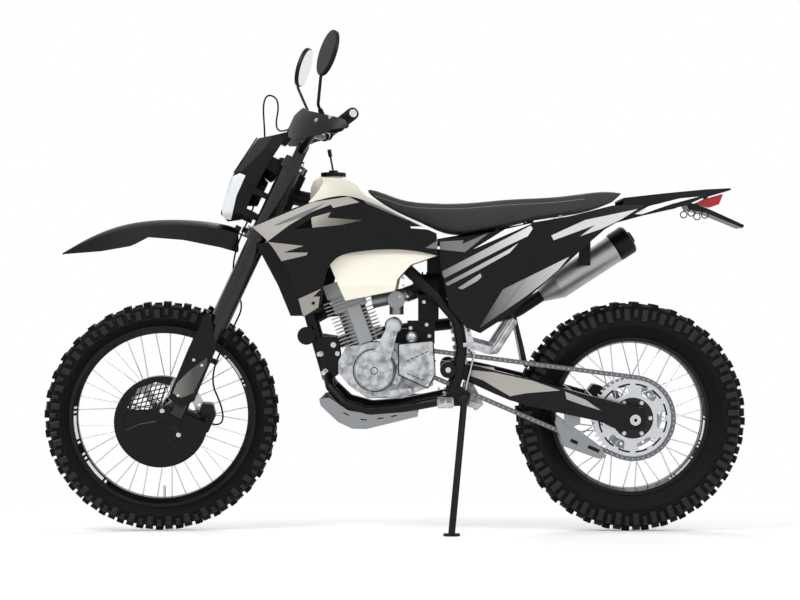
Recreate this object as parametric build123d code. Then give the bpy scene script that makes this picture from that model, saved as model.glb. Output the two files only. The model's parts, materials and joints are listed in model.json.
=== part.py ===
from build123d import *
import math
import os

# An enduro motorcycle of the 250 class, parked on its side stand.
# Everything is drawn upright first, in millimetres: X runs from nose to tail with 0 half way
# between the axles, Y runs from the rider's left to the right, and Z is up from the ground.
# The last section turns the bars, leans the machine onto its stand and writes the pieces.

# Stance
FRONT_AXLE_X = -706.0
FRONT_AXLE_Z = 345.0
REAR_AXLE_X = 706.0
REAR_AXLE_Z = 345.0
RAKE = 25.0
FORK_OFFSET = 24.0
AXLE_LEAD = 31.3
BARS_TURNED = 9.0
PARKED_LEAN = 8.0

# Fits
SEAT_GAP = 0.3
SHAFT_CLEARANCE = 0.05

# Wheels: inch sizes of the two rims, as bead seat radii, and the tyres over their lugs
FRONT_BEAD_R = 266.7
REAR_BEAD_R = 228.6
FRONT_TYRE_R = 347.0
REAR_TYRE_R = 345.0
FRONT_TYRE_HALF = 40.0
REAR_TYRE_HALF = 54.0
FRONT_RIM_HALF = 22.0
REAR_RIM_HALF = 28.0
FRONT_RIM_WELL = 14.7
REAR_RIM_WELL = 8.0
RIM_WALL = 3.0
FLANGE_RISE = 9.3
LUG_PITCHES = 36
LUG_LENGTH = 22.0
LUG_WIDTH = 17.0
LUG_HEIGHT = 11.0
SPOKES = 36
SPOKE_R = 1.75
LACING_ANGLE = 38.0

# Hubs, axles and discs
FRONT_AXLE_R = 8.5
REAR_AXLE_R = 9.5
AXLE_BORE_R = 5.0
FRONT_HUB_R = 21.0
FRONT_FLANGE_R = 36.0
REAR_HUB_R = 27.0
REAR_FLANGE_R = 57.0
HUB_HALF = 35.0
FLANGE_THICKNESS = 5.0
DISC_THICKNESS = 4.0
FRONT_DISC_R = 130.0
REAR_DISC_R = 110.0
DISC_BAND = 30.0
FRONT_DISC_Y = -50.0
REAR_DISC_Y = 50.0
CHAIN_Y = -75.0

# Final drive, 520 pitch
CHAIN_PITCH = 15.875
REAR_TEETH = 48
FRONT_TEETH = 13
CHAIN_WIDTH = 16.0
CHAIN_PLATE_HEIGHT = 15.0
SPROCKET_THICKNESS = 6.0
COUNTERSHAFT_X = 84.0
COUNTERSHAFT_Z = 515.0

# Fork
LEG_Y = 104.0
UPPER_TUBE_R = 29.0
LOWER_TUBE_R = 20.0
UPPER_TUBE_BOTTOM = 330.0
LOWER_CLAMP_BASE = 600.0
LOWER_CLAMP_HEIGHT = 32.0
UPPER_CLAMP_BASE = 836.0
UPPER_CLAMP_HEIGHT = 22.0
FORK_CAP_RISE = 14.0
FORK_TOP = UPPER_CLAMP_BASE + UPPER_CLAMP_HEIGHT + FORK_CAP_RISE
CLAMP_WALL = 9.0
STEM_R = 15.0
HEAD_TUBE_R = 30.0
FOOT_INNER_Y = 76.0
FOOT_OUTER_Y = 100.0
FOOT_TOP = 60.0
GUARD_WALL = 3.0

# Frame tubes
SPINE_R = 24.0
DOWN_TUBE_R = 20.0
SPAR_R = 16.5
SPAR_Y = 110.0
CRADLE_R = 14.0
CRADLE_Y = 92.0
LINK_X = 146.0
LINK_Z = 401.0
LINK_HALF = 30.3
SUBFRAME_R = 10.0
SUBFRAME_Y = 74.0
PIVOT_X = 156.0
PIVOT_Z = 492.0
PIVOT_BOLT_R = 8.0

# Bodywork
PANEL_WALL = 3.0

# Tank
TANK_ROOF = 1026.0
TANK_CROWN = TANK_ROOF + 38.0
TANK_REST_X = -200.0

# Side stand
STAND_PIVOT = (203.0, -142.0, 405.0)
STAND_FOOT_Y = -258.0
STAND_FOOT_X = 165.0
STAND_TUBE_R = 10.0
STAND_FOOT_THICKNESS = 8.0

# Steering line: P is the point of the steering axis nearest the front axle
SIN_RAKE = math.sin(math.radians(RAKE))
COS_RAKE = math.cos(math.radians(RAKE))
AXLE_OFFSET = FORK_OFFSET + AXLE_LEAD
HEAD_X = FRONT_AXLE_X + AXLE_OFFSET * COS_RAKE
HEAD_Z = FRONT_AXLE_Z - AXLE_OFFSET * SIN_RAKE
STEERING = Axis((HEAD_X, 0, HEAD_Z), (SIN_RAKE, 0, COS_RAKE))
# Fork pieces are drawn with local x to the rear, y to the right and z up the steering axis
FORK = Location(
    Plane(origin=(HEAD_X, 0, HEAD_Z), x_dir=(COS_RAKE, 0, -SIN_RAKE), z_dir=(SIN_RAKE, 0, COS_RAKE))
)


# Shaping

def side_slab(face, y_low, y_high):
    """A flat face, drawn as (x, z), given thickness between two y values."""
    return extrude(Plane.XZ.offset(-y_high) * face, y_high - y_low, dir=(0, -1, 0))


def side_prism(outline, y_low, y_high, rounding=0.0):
    """A plate of this side outline, as (x, z) points, between two y values."""
    face = Polygon(*outline, align=None)
    if rounding:
        face = fillet(face.vertices(), rounding)
    return side_slab(face, y_low, y_high)


def plan_prism(outline, z_low, z_high, rounding=0.0):
    """A plate of this plan outline, as (x, y) points, between two heights."""
    face = Polygon(*outline, align=None)
    if rounding:
        face = fillet(face.vertices(), rounding)
    return extrude(Plane.XY.offset(z_low) * face, z_high - z_low, dir=(0, 0, 1))


def front_prism(outline, x_low, x_high, rounding=0.0):
    """A plate of this front outline, as (y, z) points, between two x values."""
    face = Polygon(*outline, align=None)
    if rounding:
        face = fillet(face.vertices(), rounding)
    return extrude(Plane.YZ.offset(x_low) * face, x_high - x_low, dir=(1, 0, 0))


def plan_band(points, wall, z_low, z_high, rounding=0.0):
    """A standing wall that follows a line of (x, y) points, drawn at its inner face."""
    outer = [(x, y + math.copysign(wall, y)) for x, y in reversed(points)]
    return plan_prism(list(points) + outer, z_low, z_high, rounding)


def curved_prism(runs, y_low, y_high):
    """A plate whose side outline is made of smooth runs, each a list of (x, z) points."""
    edges = []
    for run in runs:
        edges.append(Spline(*run) if len(run) > 2 else Line(*run))
    return side_slab(make_face(Wire(edges)), y_low, y_high)


def standing_shell(line, leans, wall, hand, push_x=0.0, push_y=1.0):
    """A standing wall that follows a plan line and leans along the push direction with height.

    leans holds (height, distance pushed) pairs; the wall is lofted through them."""
    sections = []
    for height, pushed in leans:
        far = pushed + wall
        inner = [(x + push_x * pushed, hand * (y + push_y * pushed)) for x, y in line]
        outer = [(x + push_x * far, hand * (y + push_y * far)) for x, y in line]
        edges = [
            Spline(*inner), Line(inner[-1], outer[-1]), Spline(*reversed(outer)),
            Line(outer[0], inner[0]),
        ]
        sections.append(Plane.XY.offset(height) * make_face(Wire(edges)))
    return loft(sections)


def rod(start, end, radius):
    """A round bar between two points."""
    direction = Vector(*end) - Vector(*start)
    return Solid.make_cylinder(radius, direction.length, Plane(origin=start, z_dir=direction))


def bent_tube(points, radius, bend):
    """A round tube along straight runs joined by bends; one bend radius, or one for each corner."""
    path = FilletPolyline(*points, radius=bend)
    return sweep(Plane(origin=path @ 0, z_dir=path % 0) * Circle(radius), path=path)


def barrel(radius, y_low, y_high, x=0.0, z=0.0):
    """A round disc or boss across the machine."""
    return Solid.make_cylinder(radius, y_high - y_low, Plane(origin=(x, y_low, z), z_dir=(0, 1, 0)))


def block(x_low, x_high, y_low, y_high, z_low, z_high):
    return Solid.make_box(
        x_high - x_low, y_high - y_low, z_high - z_low, Plane(origin=(x_low, y_low, z_low))
    )


def turned(outline):
    """A ring turned about the Y axis from an outline of (radius, y) points."""
    face = Plane.XY * Polygon(*outline, align=None)
    return revolve(face, Axis.Y, 360)


def joined(pieces):
    """One shape from many that touch or cross."""
    first, *rest = pieces
    return first.fuse(*rest).clean()


# Wheels, drawn about their own axle at the origin

def tyre(bead_r, tyre_r, half_width, rim_half):
    """A knobbly tyre: one pitch of carcass with four lugs, repeated round the wheel."""
    half_pitch = math.radians(180 / LUG_PITCHES)
    carcass_r = tyre_r - LUG_HEIGHT
    bead_y = rim_half + 0.5 - SEAT_GAP
    shoulder_y = half_width - 3.0
    crown_y = half_width - 20.0
    right_side = [
        (bead_y - 0.3, bead_r + SEAT_GAP),
        (bead_y - 0.3, bead_r + FLANGE_RISE + SEAT_GAP),
        (half_width, bead_r + 0.45 * (carcass_r - bead_r)),
        (shoulder_y, carcass_r - 14.0),
        (crown_y, carcass_r - 2.0),
    ]
    outline = right_side + [(-y, r) for y, r in reversed(right_side)]
    reach = (tyre_r + 5) * math.tan(half_pitch)
    sector = front_prism(outline, -reach, reach)
    wedge_r = tyre_r + 40
    wedge = side_prism(
        [(0, 0), (wedge_r * math.tan(half_pitch), wedge_r), (-wedge_r * math.tan(half_pitch), wedge_r)],
        -half_width - 20,
        half_width + 20,
    )
    pitch = sector & wedge
    # y of the lug, radius of its root, tilt outwards, turn within the pitch
    lugs = [
        (crown_y - LUG_WIDTH / 2 - 1, carcass_r - 4, 0.0, 1.0),
        (half_width - 8, carcass_r - 11, 24.0, -1.0),
    ]
    for lug_y, root_r, tilt, side in lugs:
        for hand in (-1, 1):
            lug = Box(LUG_LENGTH, LUG_WIDTH, LUG_HEIGHT + 4, align=(Align.CENTER, Align.CENTER, Align.MIN))
            lug = (
                Rot(0, side * 90 / LUG_PITCHES, 0)
                * Pos(0, hand * lug_y, root_r)
                * Rot(-hand * tilt, 0, 0)
                * lug
            )
            pitch = pitch + lug
    return joined([Rot(0, 360 / LUG_PITCHES * i, 0) * pitch.solid() for i in range(LUG_PITCHES)])


def rim(bead_r, rim_half, well):
    """An alloy rim section, turned."""
    flange_y = rim_half + RIM_WALL
    floor_y = rim_half * 0.45
    right_side = [
        (bead_r - well, floor_y),
        (bead_r - 2.0, flange_y),
        (bead_r + FLANGE_RISE, flange_y),
        (bead_r + FLANGE_RISE, rim_half + 0.4),
        (bead_r, rim_half + 0.4),
        (bead_r - well + 4.0, floor_y - 3.0),
    ]
    return turned(right_side + [(r, -y) for r, y in reversed(right_side)])


def laced_hub(hub_r, flange_r, bore_r, rim_inner_r, rim_floor_y):
    """A hub with two flanges and its spokes, which end just under the rim."""
    outline = [
        (bore_r, -HUB_HALF),
        (flange_r, -HUB_HALF),
        (flange_r, -HUB_HALF + FLANGE_THICKNESS),
        (hub_r, -HUB_HALF + 2 * FLANGE_THICKNESS),
        (hub_r, HUB_HALF - 2 * FLANGE_THICKNESS),
        (flange_r, HUB_HALF - FLANGE_THICKNESS),
        (flange_r, HUB_HALF),
        (bore_r, HUB_HALF),
    ]
    pieces = [turned(outline).solid()]
    for i in range(SPOKES):
        hand = 1 if i % 2 else -1
        lace = LACING_ANGLE if (i // 2) % 2 else -LACING_ANGLE
        rim_angle = math.radians(360 / SPOKES * (i + 0.5))
        hub_angle = rim_angle + math.radians(lace)
        hub_reach = flange_r - 3.5
        rim_reach = rim_inner_r - 2 * SEAT_GAP
        start = (
            hub_reach * math.cos(hub_angle),
            hand * (HUB_HALF - FLANGE_THICKNESS / 2),
            hub_reach * math.sin(hub_angle),
        )
        end = (rim_reach * math.cos(rim_angle), hand * (rim_floor_y - 5), rim_reach * math.sin(rim_angle))
        pieces.append(rod(start, end, SPOKE_R))
    return joined(pieces)


def brake_disc(outer_r, y_middle, hub_y, bore_r):
    """A drilled disc on its carrier, reaching in to the hub's end."""
    y_low = y_middle - DISC_THICKNESS / 2
    y_high = y_middle + DISC_THICKNESS / 2
    disc = barrel(outer_r, y_low, y_high) - barrel(outer_r - DISC_BAND, y_low, y_high)
    arms = []
    for i in range(6):
        arm = block(20, outer_r - DISC_BAND + 4, y_low, y_high, -9, 9)
        arms.append(Rot(0, 60 * i, 0) * arm)
    carrier = barrel(30, min(hub_y, y_low), max(hub_y, y_high))
    body = disc.fuse(carrier, *arms)
    holes = []
    for i in range(18):
        angle = math.radians(20 * i)
        reach = outer_r - 9 - 6 * (i % 3)
        holes.append(barrel(4, y_low - 1, y_high + 1, reach * math.cos(angle), reach * math.sin(angle)))
    body = body.cut(*holes)
    return (body - barrel(bore_r, -200, 200)).clean()


def rear_sprocket(bore_r):
    """The driven sprocket, bolted to the hub's left end."""
    pitch_r = CHAIN_PITCH / (2 * math.sin(math.pi / REAR_TEETH))
    y_low = CHAIN_Y - SPROCKET_THICKNESS / 2
    y_high = CHAIN_Y + SPROCKET_THICKNESS / 2
    body = barrel(pitch_r - 6, y_low, y_high)
    teeth = []
    for i in range(REAR_TEETH):
        tooth = side_prism(
            [(pitch_r - 9, -5), (pitch_r + 4, -1.8), (pitch_r + 4, 1.8), (pitch_r - 9, 5)], y_low, y_high
        )
        teeth.append(Rot(0, 360 / REAR_TEETH * (i + 0.5), 0) * tooth.solid())
    body = body.fuse(*teeth)
    windows = []
    for i in range(6):
        window = side_prism([(72, -30), (98, -30), (98, 26), (72, 14)], y_low - 1, y_high + 1, 6)
        windows.append(Rot(0, 60 * i, 0) * window.solid())
    body = body.cut(*windows)
    spigot = barrel(REAR_FLANGE_R - 8, y_low, -HUB_HALF)
    return (body.fuse(spigot) - barrel(bore_r, -200, 200)).clean()


FRONT_RIM_INNER = FRONT_BEAD_R - FRONT_RIM_WELL
REAR_RIM_INNER = REAR_BEAD_R - REAR_RIM_WELL


def front_wheel(shape):
    return Pos(FRONT_AXLE_X, 0, FRONT_AXLE_Z) * shape


def rear_wheel(shape):
    return Pos(REAR_AXLE_X, 0, REAR_AXLE_Z) * shape


# Fork and front end

def clamp(base, height, stem_hole):
    """A triple clamp: a bridge with an eye round each leg."""
    bridge = plan_prism(
        [
            (-FORK_OFFSET - 30, -LEG_Y), (24, -34), (24, 34), (-FORK_OFFSET - 30, LEG_Y),
            (-FORK_OFFSET - 44, 0),
        ],
        base,
        base + height,
    )
    pieces = [bridge.solid()]
    for hand in (-1, 1):
        eye = Solid.make_cylinder(
            UPPER_TUBE_R + CLAMP_WALL, height, Plane(origin=(-FORK_OFFSET, hand * LEG_Y, base))
        )
        pieces.append(eye)
    body = joined(pieces)
    for hand in (-1, 1):
        body = body - Pos(-FORK_OFFSET, hand * LEG_Y, base + height / 2) * Cylinder(
            UPPER_TUBE_R + SEAT_GAP, height + 2
        )
    if stem_hole:
        body = body - Pos(0, 0, base + height / 2) * Cylinder(STEM_R + SEAT_GAP, height + 2)
    return body


def lower_clamp():
    """The lower clamp carries the steering stem up through the head tube."""
    stem = Solid.make_cylinder(
        STEM_R, UPPER_CLAMP_BASE + UPPER_CLAMP_HEIGHT - LOWER_CLAMP_BASE, Plane(
            origin=(0, 0, LOWER_CLAMP_BASE)
        )
    )
    return joined([clamp(LOWER_CLAMP_BASE, LOWER_CLAMP_HEIGHT, False).solid(), stem])


BAR_RISER_X = -18.0
BAR_RISER_HEIGHT = 34.0
BAR_CLAMP_Y = 45.0
BAR_R = 11.1


def bar_centre_height():
    return UPPER_CLAMP_BASE + UPPER_CLAMP_HEIGHT + BAR_RISER_HEIGHT + BAR_R


def upper_clamp():
    """The upper clamp with the two risers that hold the handlebar."""
    top = UPPER_CLAMP_BASE + UPPER_CLAMP_HEIGHT
    pieces = [clamp(UPPER_CLAMP_BASE, UPPER_CLAMP_HEIGHT, True).solid()]
    for hand in (-1, 1):
        riser = block(
            BAR_RISER_X - 17, BAR_RISER_X + 17, hand * BAR_CLAMP_Y - 14, hand * BAR_CLAMP_Y + 14,
            top - 0.01, bar_centre_height() + 20,
        )
        pieces.append(riser)
    body = joined(pieces)
    bar_hole = Solid.make_cylinder(
        BAR_R + SHAFT_CLEARANCE, 200, Plane(
            origin=(BAR_RISER_X, -100, bar_centre_height()), z_dir=(0, 1, 0)
        )
    )
    return body - bar_hole


def fork_upper(hand):
    return Solid.make_cylinder(
        UPPER_TUBE_R, FORK_TOP - UPPER_TUBE_BOTTOM, Plane(
            origin=(-FORK_OFFSET, hand * LEG_Y, UPPER_TUBE_BOTTOM)
        )
    )


def fork_lower(hand):
    """The sliding tube and the foot that holds the axle."""
    tube = Solid.make_cylinder(
        LOWER_TUBE_R, UPPER_TUBE_BOTTOM - FOOT_TOP + 20, Plane(
            origin=(-FORK_OFFSET, hand * LEG_Y, FOOT_TOP - 20)
        )
    )
    socket = Solid.make_cylinder(
        LOWER_TUBE_R + 2.7, 60, Plane(origin=(-FORK_OFFSET, hand * LEG_Y, FOOT_TOP - 25))
    )
    low_y, high_y = sorted((hand * FOOT_INNER_Y, hand * FOOT_OUTER_Y))
    foot = side_prism(
        [(-AXLE_OFFSET - 22, -24), (-AXLE_OFFSET + 22, -24), (0, 30), (0, FOOT_TOP + 20),
         (-FORK_OFFSET - 22, FOOT_TOP + 20), (-AXLE_OFFSET - 22, 24)],
        low_y, high_y, 8,
    )
    body = joined([tube, socket, foot.solid()])
    return body - barrel(FRONT_AXLE_R + SHAFT_CLEARANCE, -200, 200, -AXLE_OFFSET, 0)


GUARD_OUTLINE = [(-70, 352), (-52, 346), (0, 265), (6, 100), (-19, 66), (-67, 78), (-74, 231)]
GUARD_OUTER_Y = 131.0
GUARD_INNER_Y = 80.0


def fork_guard(hand):
    """A plastic guard: an outer side and a front wall, open to the rear."""
    low_y, high_y = sorted((hand * GUARD_INNER_Y, hand * GUARD_OUTER_Y))
    shell = side_prism(GUARD_OUTLINE, low_y, high_y)
    inner_low, inner_high = sorted((hand * (GUARD_INNER_Y - 10), hand * (GUARD_OUTER_Y - GUARD_WALL)))
    shifted = [(x + GUARD_WALL + 2, z) for x, z in GUARD_OUTLINE]
    grown = [(60, 500), (-67, 500), shifted[0], shifted[6], shifted[5], (-19, 20), (60, 20)]
    hollow = side_prism(grown, inner_low, inner_high)
    body = shell - hollow
    upper_room = Pos(-FORK_OFFSET, hand * LEG_Y, UPPER_TUBE_BOTTOM + 100) * Cylinder(UPPER_TUBE_R + 1, 200)
    return body - upper_room


def front_axle():
    """The hollow front axle, from foot to foot."""
    axle = barrel(FRONT_AXLE_R, -FOOT_OUTER_Y, FOOT_OUTER_Y + 8, -AXLE_OFFSET, 0)
    head = barrel(14, FOOT_OUTER_Y, FOOT_OUTER_Y + 8, -AXLE_OFFSET, 0)
    left_spacer = barrel(12, -FOOT_INNER_Y, FRONT_DISC_Y - DISC_THICKNESS / 2 - SEAT_GAP, -AXLE_OFFSET, 0)
    right_spacer = barrel(12, HUB_HALF + SEAT_GAP, FOOT_INNER_Y, -AXLE_OFFSET, 0)
    body = joined([axle, head, left_spacer, right_spacer])
    return body - barrel(AXLE_BORE_R, -200, 200, -AXLE_OFFSET, 0)


COVER_R = 136.0
COVER_Y = -101.0
COVER_WALL = 3.0
COVER_RIM = 14.0


def disc_cover():
    """The dished cover over the front disc, with its mesh window and a notch for the leg."""
    outer_y = COVER_Y - 2 * COVER_WALL
    dish = barrel(
        COVER_R, outer_y, COVER_Y + COVER_RIM
    ) - barrel(COVER_R - COVER_WALL, outer_y + COVER_WALL, COVER_Y + COVER_RIM + 1)
    dish = Pos(-AXLE_OFFSET, 0, 0) * dish
    window = side_prism(
        [(-26, 30), (-108, -8), (-104, 62), (-60, 104), (4, 112), (4, 60)], outer_y - 1, COVER_Y + 2, 8
    )
    window = Pos(-AXLE_OFFSET, 0, 0) * window
    bars = []
    for i in range(7):
        bar = block(-200, 120, outer_y, outer_y + COVER_WALL, -1.6, 1.6)
        bars.append(Pos(-AXLE_OFFSET, 0, 0) * Rot(0, -38, 0) * Pos(0, 0, 18 + 13 * i) * bar)
        bars.append(Pos(-AXLE_OFFSET, 0, 0) * Rot(0, -98, 0) * Pos(0, 0, 18 + 13 * i) * bar)
    bar_grid = bars[0].fuse(*bars[1:])
    mesh = (bar_grid & window).solids()
    body = dish - window
    body = body.fuse(*mesh)
    notch = block(-FORK_OFFSET - 54, 60, outer_y - 1, COVER_Y + COVER_RIM + 1, 50, 220)
    leg = Pos(-FORK_OFFSET, -LEG_Y, 90) * Cylinder(LOWER_TUBE_R + 4, 120)
    cover = max((body - notch - leg).solids(), key=lambda s: s.volume)
    bosses = []
    for x, z in ((-57, 20), (-63, -17)):
        bosses.append(barrel(8, outer_y + 1, -FOOT_OUTER_Y - SEAT_GAP, x, z))
    return joined([cover, *bosses])


def front_caliper():
    """The two-piston caliper behind the left foot, with its slot for the disc."""
    disc_room = DISC_THICKNESS / 2 + 1.5
    body = side_prism([(38, 8), (84, 18), (84, 76), (62, 104), (32, 92)], -FOOT_INNER_Y + SEAT_GAP, -36, 8)
    slot = barrel(FRONT_DISC_R + 2, FRONT_DISC_Y - disc_room, FRONT_DISC_Y + disc_room, -AXLE_OFFSET, 0)
    arm = side_prism([(0.3, 32), (44, 32), (44, 62), (0.3, 62)], -FOOT_OUTER_Y + 4, -FOOT_INNER_Y + 12)
    return joined([*(body - slot).solids(), arm.solid()])


HOSE_R = 2.6
HOSE_BEND = 22.0
HOSE_POINTS = [
    (-2.2, 274, 990), (-34, 262, 984), (-60, 150, 972), (-114, 28, 915), (-140, 14, 1022),
    (-196, -4, 1010), (-129, -24, 887), (-97, -42, 813), (-74, -70, 700), (-74, -70, 540),
    (-30, -66, 450), (20, -66, 410),
    (20, -104, 350), (12, -104, 180), (96, -98, 105), (114, -68, 52), (84.2, -62, 46),
]
HOSE_CLIPS = [(-74, -70, 616, -55), (14, -104, 226, -8)]


def brake_hose():
    """The front brake hose: over the top of the mask, down the left leg and round to the caliper."""
    hose = bent_tube(HOSE_POINTS, HOSE_R, HOSE_BEND)
    clips = []
    for x, y, height, root_x in HOSE_CLIPS:
        clips.append(rod((x, y, height - 8), (x, y, height + 8), HOSE_R + 3))
        low_x, high_x = sorted((x, root_x))
        clips.append(block(low_x, high_x, y - 2.5, y + 2.5, height - 8, height + 8))
    body = joined([hose, *clips]) - lower_clamp() - fork_lower(-1)
    return max(body.solids(), key=lambda s: s.volume)


# x, crown height, half width of the crown, half width of the skirt
FENDER_SECTIONS = [
    (-996, 839, 5, 12), (-900, 893, 26, 46), (-776, 931, 42, 68), (-640, 938, 48, 76), (-540, 928, 50, 75),
    (-480, 912, 46, 60),
]
FENDER_EDGE = [(-480, 842), (-532, 858), (-640, 880), (-743, 888), (-792, 862), (-880, 846), (-990, 836)]
FENDER_WALL = 3.5
FENDER_SHOULDER = 14.0
FENDER_DEPTH = 100.0


def fender_section(x, crown, crown_half, skirt_half, inset):
    """One cross-section of the fender, as a closed channel shape."""
    top = crown - inset
    low = crown - FENDER_DEPTH - 20 * inset
    shoulder = top - FENDER_SHOULDER * min(1, crown_half / 40)
    upper = crown_half - inset
    lower = skirt_half - inset
    arch = ThreePointArc((-upper, shoulder), (0, top), (upper, shoulder))
    sides = [
        Line((upper, shoulder), (lower, low)), Line((lower, low), (-lower, low)),
        Line((-lower, low), (-upper, shoulder)),
    ]
    return Plane.YZ.offset(x) * make_face(Wire([arch, *sides]))


def front_fender():
    """The high front fender: a crowned channel lofted along its length, under the lower clamp."""
    outer = loft([fender_section(*row, 0) for row in FENDER_SECTIONS])
    trim = FENDER_EDGE + [(-1010, 830), (-1010, 1000), (-470, 1000)]
    inner_rows = [
        (x + (2 * FENDER_WALL if i == 0 else 0), *rest) for i, (x, *rest) in enumerate(FENDER_SECTIONS)
    ]
    inner_rows[-1] = (-478, *inner_rows[-1][1:])
    inner_rows[0] = (-978, 849, 9, 17)
    inner = loft([fender_section(*row, FENDER_WALL) for row in inner_rows])
    shell = (outer & side_prism(trim, -120, 120)) - inner
    shell = max(shell.solids(), key=lambda s: s.volume)
    tongue = FORK * block(-96, -8, -32, 32, LOWER_CLAMP_BASE - SEAT_GAP - 4, LOWER_CLAMP_BASE - SEAT_GAP)
    riser = FORK * block(-100, -82, -32, 32, LOWER_CLAMP_BASE - 4, LOWER_CLAMP_BASE + 18)
    return joined([shell, tongue, riser])


MASK_SIDE = [
    (-419, 1182), (-352, 1197), (-342, 1180), (-388, 1110), (-436, 1018), (-468, 940), (-510, 934),
    (-530, 958), (-491, 1074),
]
MASK_FRONT = [
    (-56, 1200), (56, 1200), (84, 1150), (104, 1070), (84, 960), (52, 930), (-52, 930), (-84, 960),
    (-104, 1070), (-84, 1150),
]
MASK_ROUND = 9.0
MASK_WALL = 4.0
# Inner and outer y, front end and height of the straps that hold the surround to the legs
MASK_STRAPS = [(97, 103, -112, 734), (79.5, 84, -98, 664)]
LENS_SIDE = [(-496, 1074), (-531, 956), (-512, 946), (-470, 1066)]


def headlight_mask():
    """The headlight surround, hollow behind."""
    outer = side_prism(MASK_SIDE, -130, 130, MASK_ROUND) & front_prism(MASK_FRONT, -560, -300, 20)
    inner_front = [
        (y - math.copysign(MASK_WALL, y), z - math.copysign(MASK_WALL, z - 1065)) for y, z in MASK_FRONT
    ]
    moved = [(x + 10, z - 10) for x, z in MASK_SIDE[:1]] + [(-300, 1180), (-300, 900), (-462, 900)]
    moved = moved + [(-500, 944), (-516, 962), (-481, 1066)]
    room = side_prism(moved, -130, 130) & front_prism(inner_front, -560, -290, 16)
    lens_room = side_prism([(-560, 948), (-560, 1078), (-440, 1078), (-440, 948)], -66, 66, 10)
    cable_slot = block(-406, -340, -42, 42, 1160, 1210)
    body = outer - room - lens_room - cable_slot
    straps = []
    for hand in (-1, 1):
        for inner_y, outer_y, front, height in MASK_STRAPS:
            low_y, high_y = sorted((hand * inner_y, hand * outer_y))
            strap = block(front, -FORK_OFFSET, low_y, high_y, height - 9, height + 9)
            tube_room = Pos(-FORK_OFFSET, hand * LEG_Y, height) * Cylinder(UPPER_TUBE_R + SEAT_GAP, 60)
            straps.append(FORK * (strap - tube_room).solid())
    shell = max(body.solids(), key=lambda s: s.volume)
    return joined([shell, *straps])


def headlight_lens():
    """The lens and lamp bowl in the surround."""
    lens = side_prism(LENS_SIDE, -65, 65)
    return lens & front_prism([(-65, 949), (65, 949), (65, 1077), (-65, 1077)], -560, -440, 12)


def windscreen():
    """The tinted screen that covers the upper front of the surround."""
    outline = [(-424, 1186), (-498, 1072), (-494.5, 1069.6), (-420.5, 1183.6)]
    plate = side_prism(outline, -70, 70)
    return plate & front_prism(
        [(-48, 1188), (48, 1188), (68, 1120), (58, 1079), (-58, 1079), (-68, 1120)], -520, -400, 8
    )


def handlebar_points(hand):
    """Half the bar from its clamp to its end, in fork coordinates."""
    height = bar_centre_height()
    return [
        (BAR_RISER_X, 0, height),
        (BAR_RISER_X, hand * 78, height),
        (BAR_RISER_X + 8, hand * 170, height + 68),
        (BAR_RISER_X + 50, hand * 255, height + 83),
        (BAR_RISER_X + 77, hand * 411, height + 135),
    ]


def handlebar():
    """One bent bar, end to end."""
    left = list(reversed(handlebar_points(-1)))[:-1]
    right = handlebar_points(1)[1:]
    return bent_tube(left + right, BAR_R, 45)


GRIP_R = 16.5
GRIP_LENGTH = 116.0


def grip(hand):
    start, end = [Vector(*p) for p in handlebar_points(hand)[-2:]]
    along = (end - start).normalized()
    tail = end + along * 4
    head = end - along * GRIP_LENGTH
    sleeve = rod(tuple(head), tuple(tail), GRIP_R)
    room = rod(tuple(head - along * 2), tuple(end + along * SEAT_GAP), BAR_R + SEAT_GAP)
    collar = rod(tuple(head), tuple(head + along * 6), GRIP_R + 4)
    return joined([sleeve, collar]) - room


MIRROR_FORWARD = {-1: 88.0, 1: 138.0}
MIRROR_R = 44.0
MIRROR_YAW = 25.0


def mirror_set(hand):
    """An oval mirror on its stalk, screwed into the lug on the front of the lever perch.

    The stalks are swung apart, the left one further back."""
    height = bar_centre_height()
    middle_x = BAR_RISER_X + 36 - MIRROR_FORWARD[hand]
    lug_end = (BAR_RISER_X + 16, hand * 274, height + 87)
    foot = (BAR_RISER_X + 24, hand * 273, height + 90)
    stalk = bent_tube(
        [foot, (BAR_RISER_X - 16, hand * 281, height + 127), (middle_x + 10, hand * 318, height + 197),
         (middle_x + 4, hand * 322, height + 222)],
        4.5, 16,
    )
    oval = fillet(scale(Cylinder(MIRROR_R, 14), by=(1.5, 1.0, 1.0)).edges(), 4)
    head = Pos(middle_x, hand * 323, height + 265) * Rot(0, 0, -hand * MIRROR_YAW) * Rot(0, 82, 0) * oval
    grip_line = [Vector(*p) for p in handlebar_points(hand)[-2:]]
    along = (grip_line[1] - grip_line[0]).normalized()
    perch_start = grip_line[0] + along * 10
    perch = rod(tuple(perch_start), tuple(grip_line[0] + along * 28), BAR_R + 6)
    lug = rod(tuple(grip_line[0] + along * 19), lug_end, 8)
    bar_room = bent_tube(handlebar_points(hand), BAR_R + SEAT_GAP, 45)
    return joined([stalk, head.solid(), perch, lug]) - bar_room


GUARD_PLAN = [(-78, 226), (-68, 256), (-42, 310), (2, 372), (44, 412), (60, 420)]
GUARD_FACE = [
    (224, 72), (252, 104), (290, 99), (350, 104), (412, 112), (424, 96), (380, 50), (326, 22), (276, 9),
    (234, 11), (222, 36),
]
GUARD_CROWN = [(0, -12), (40, -1), (75, 0), (125, -13)]


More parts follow.
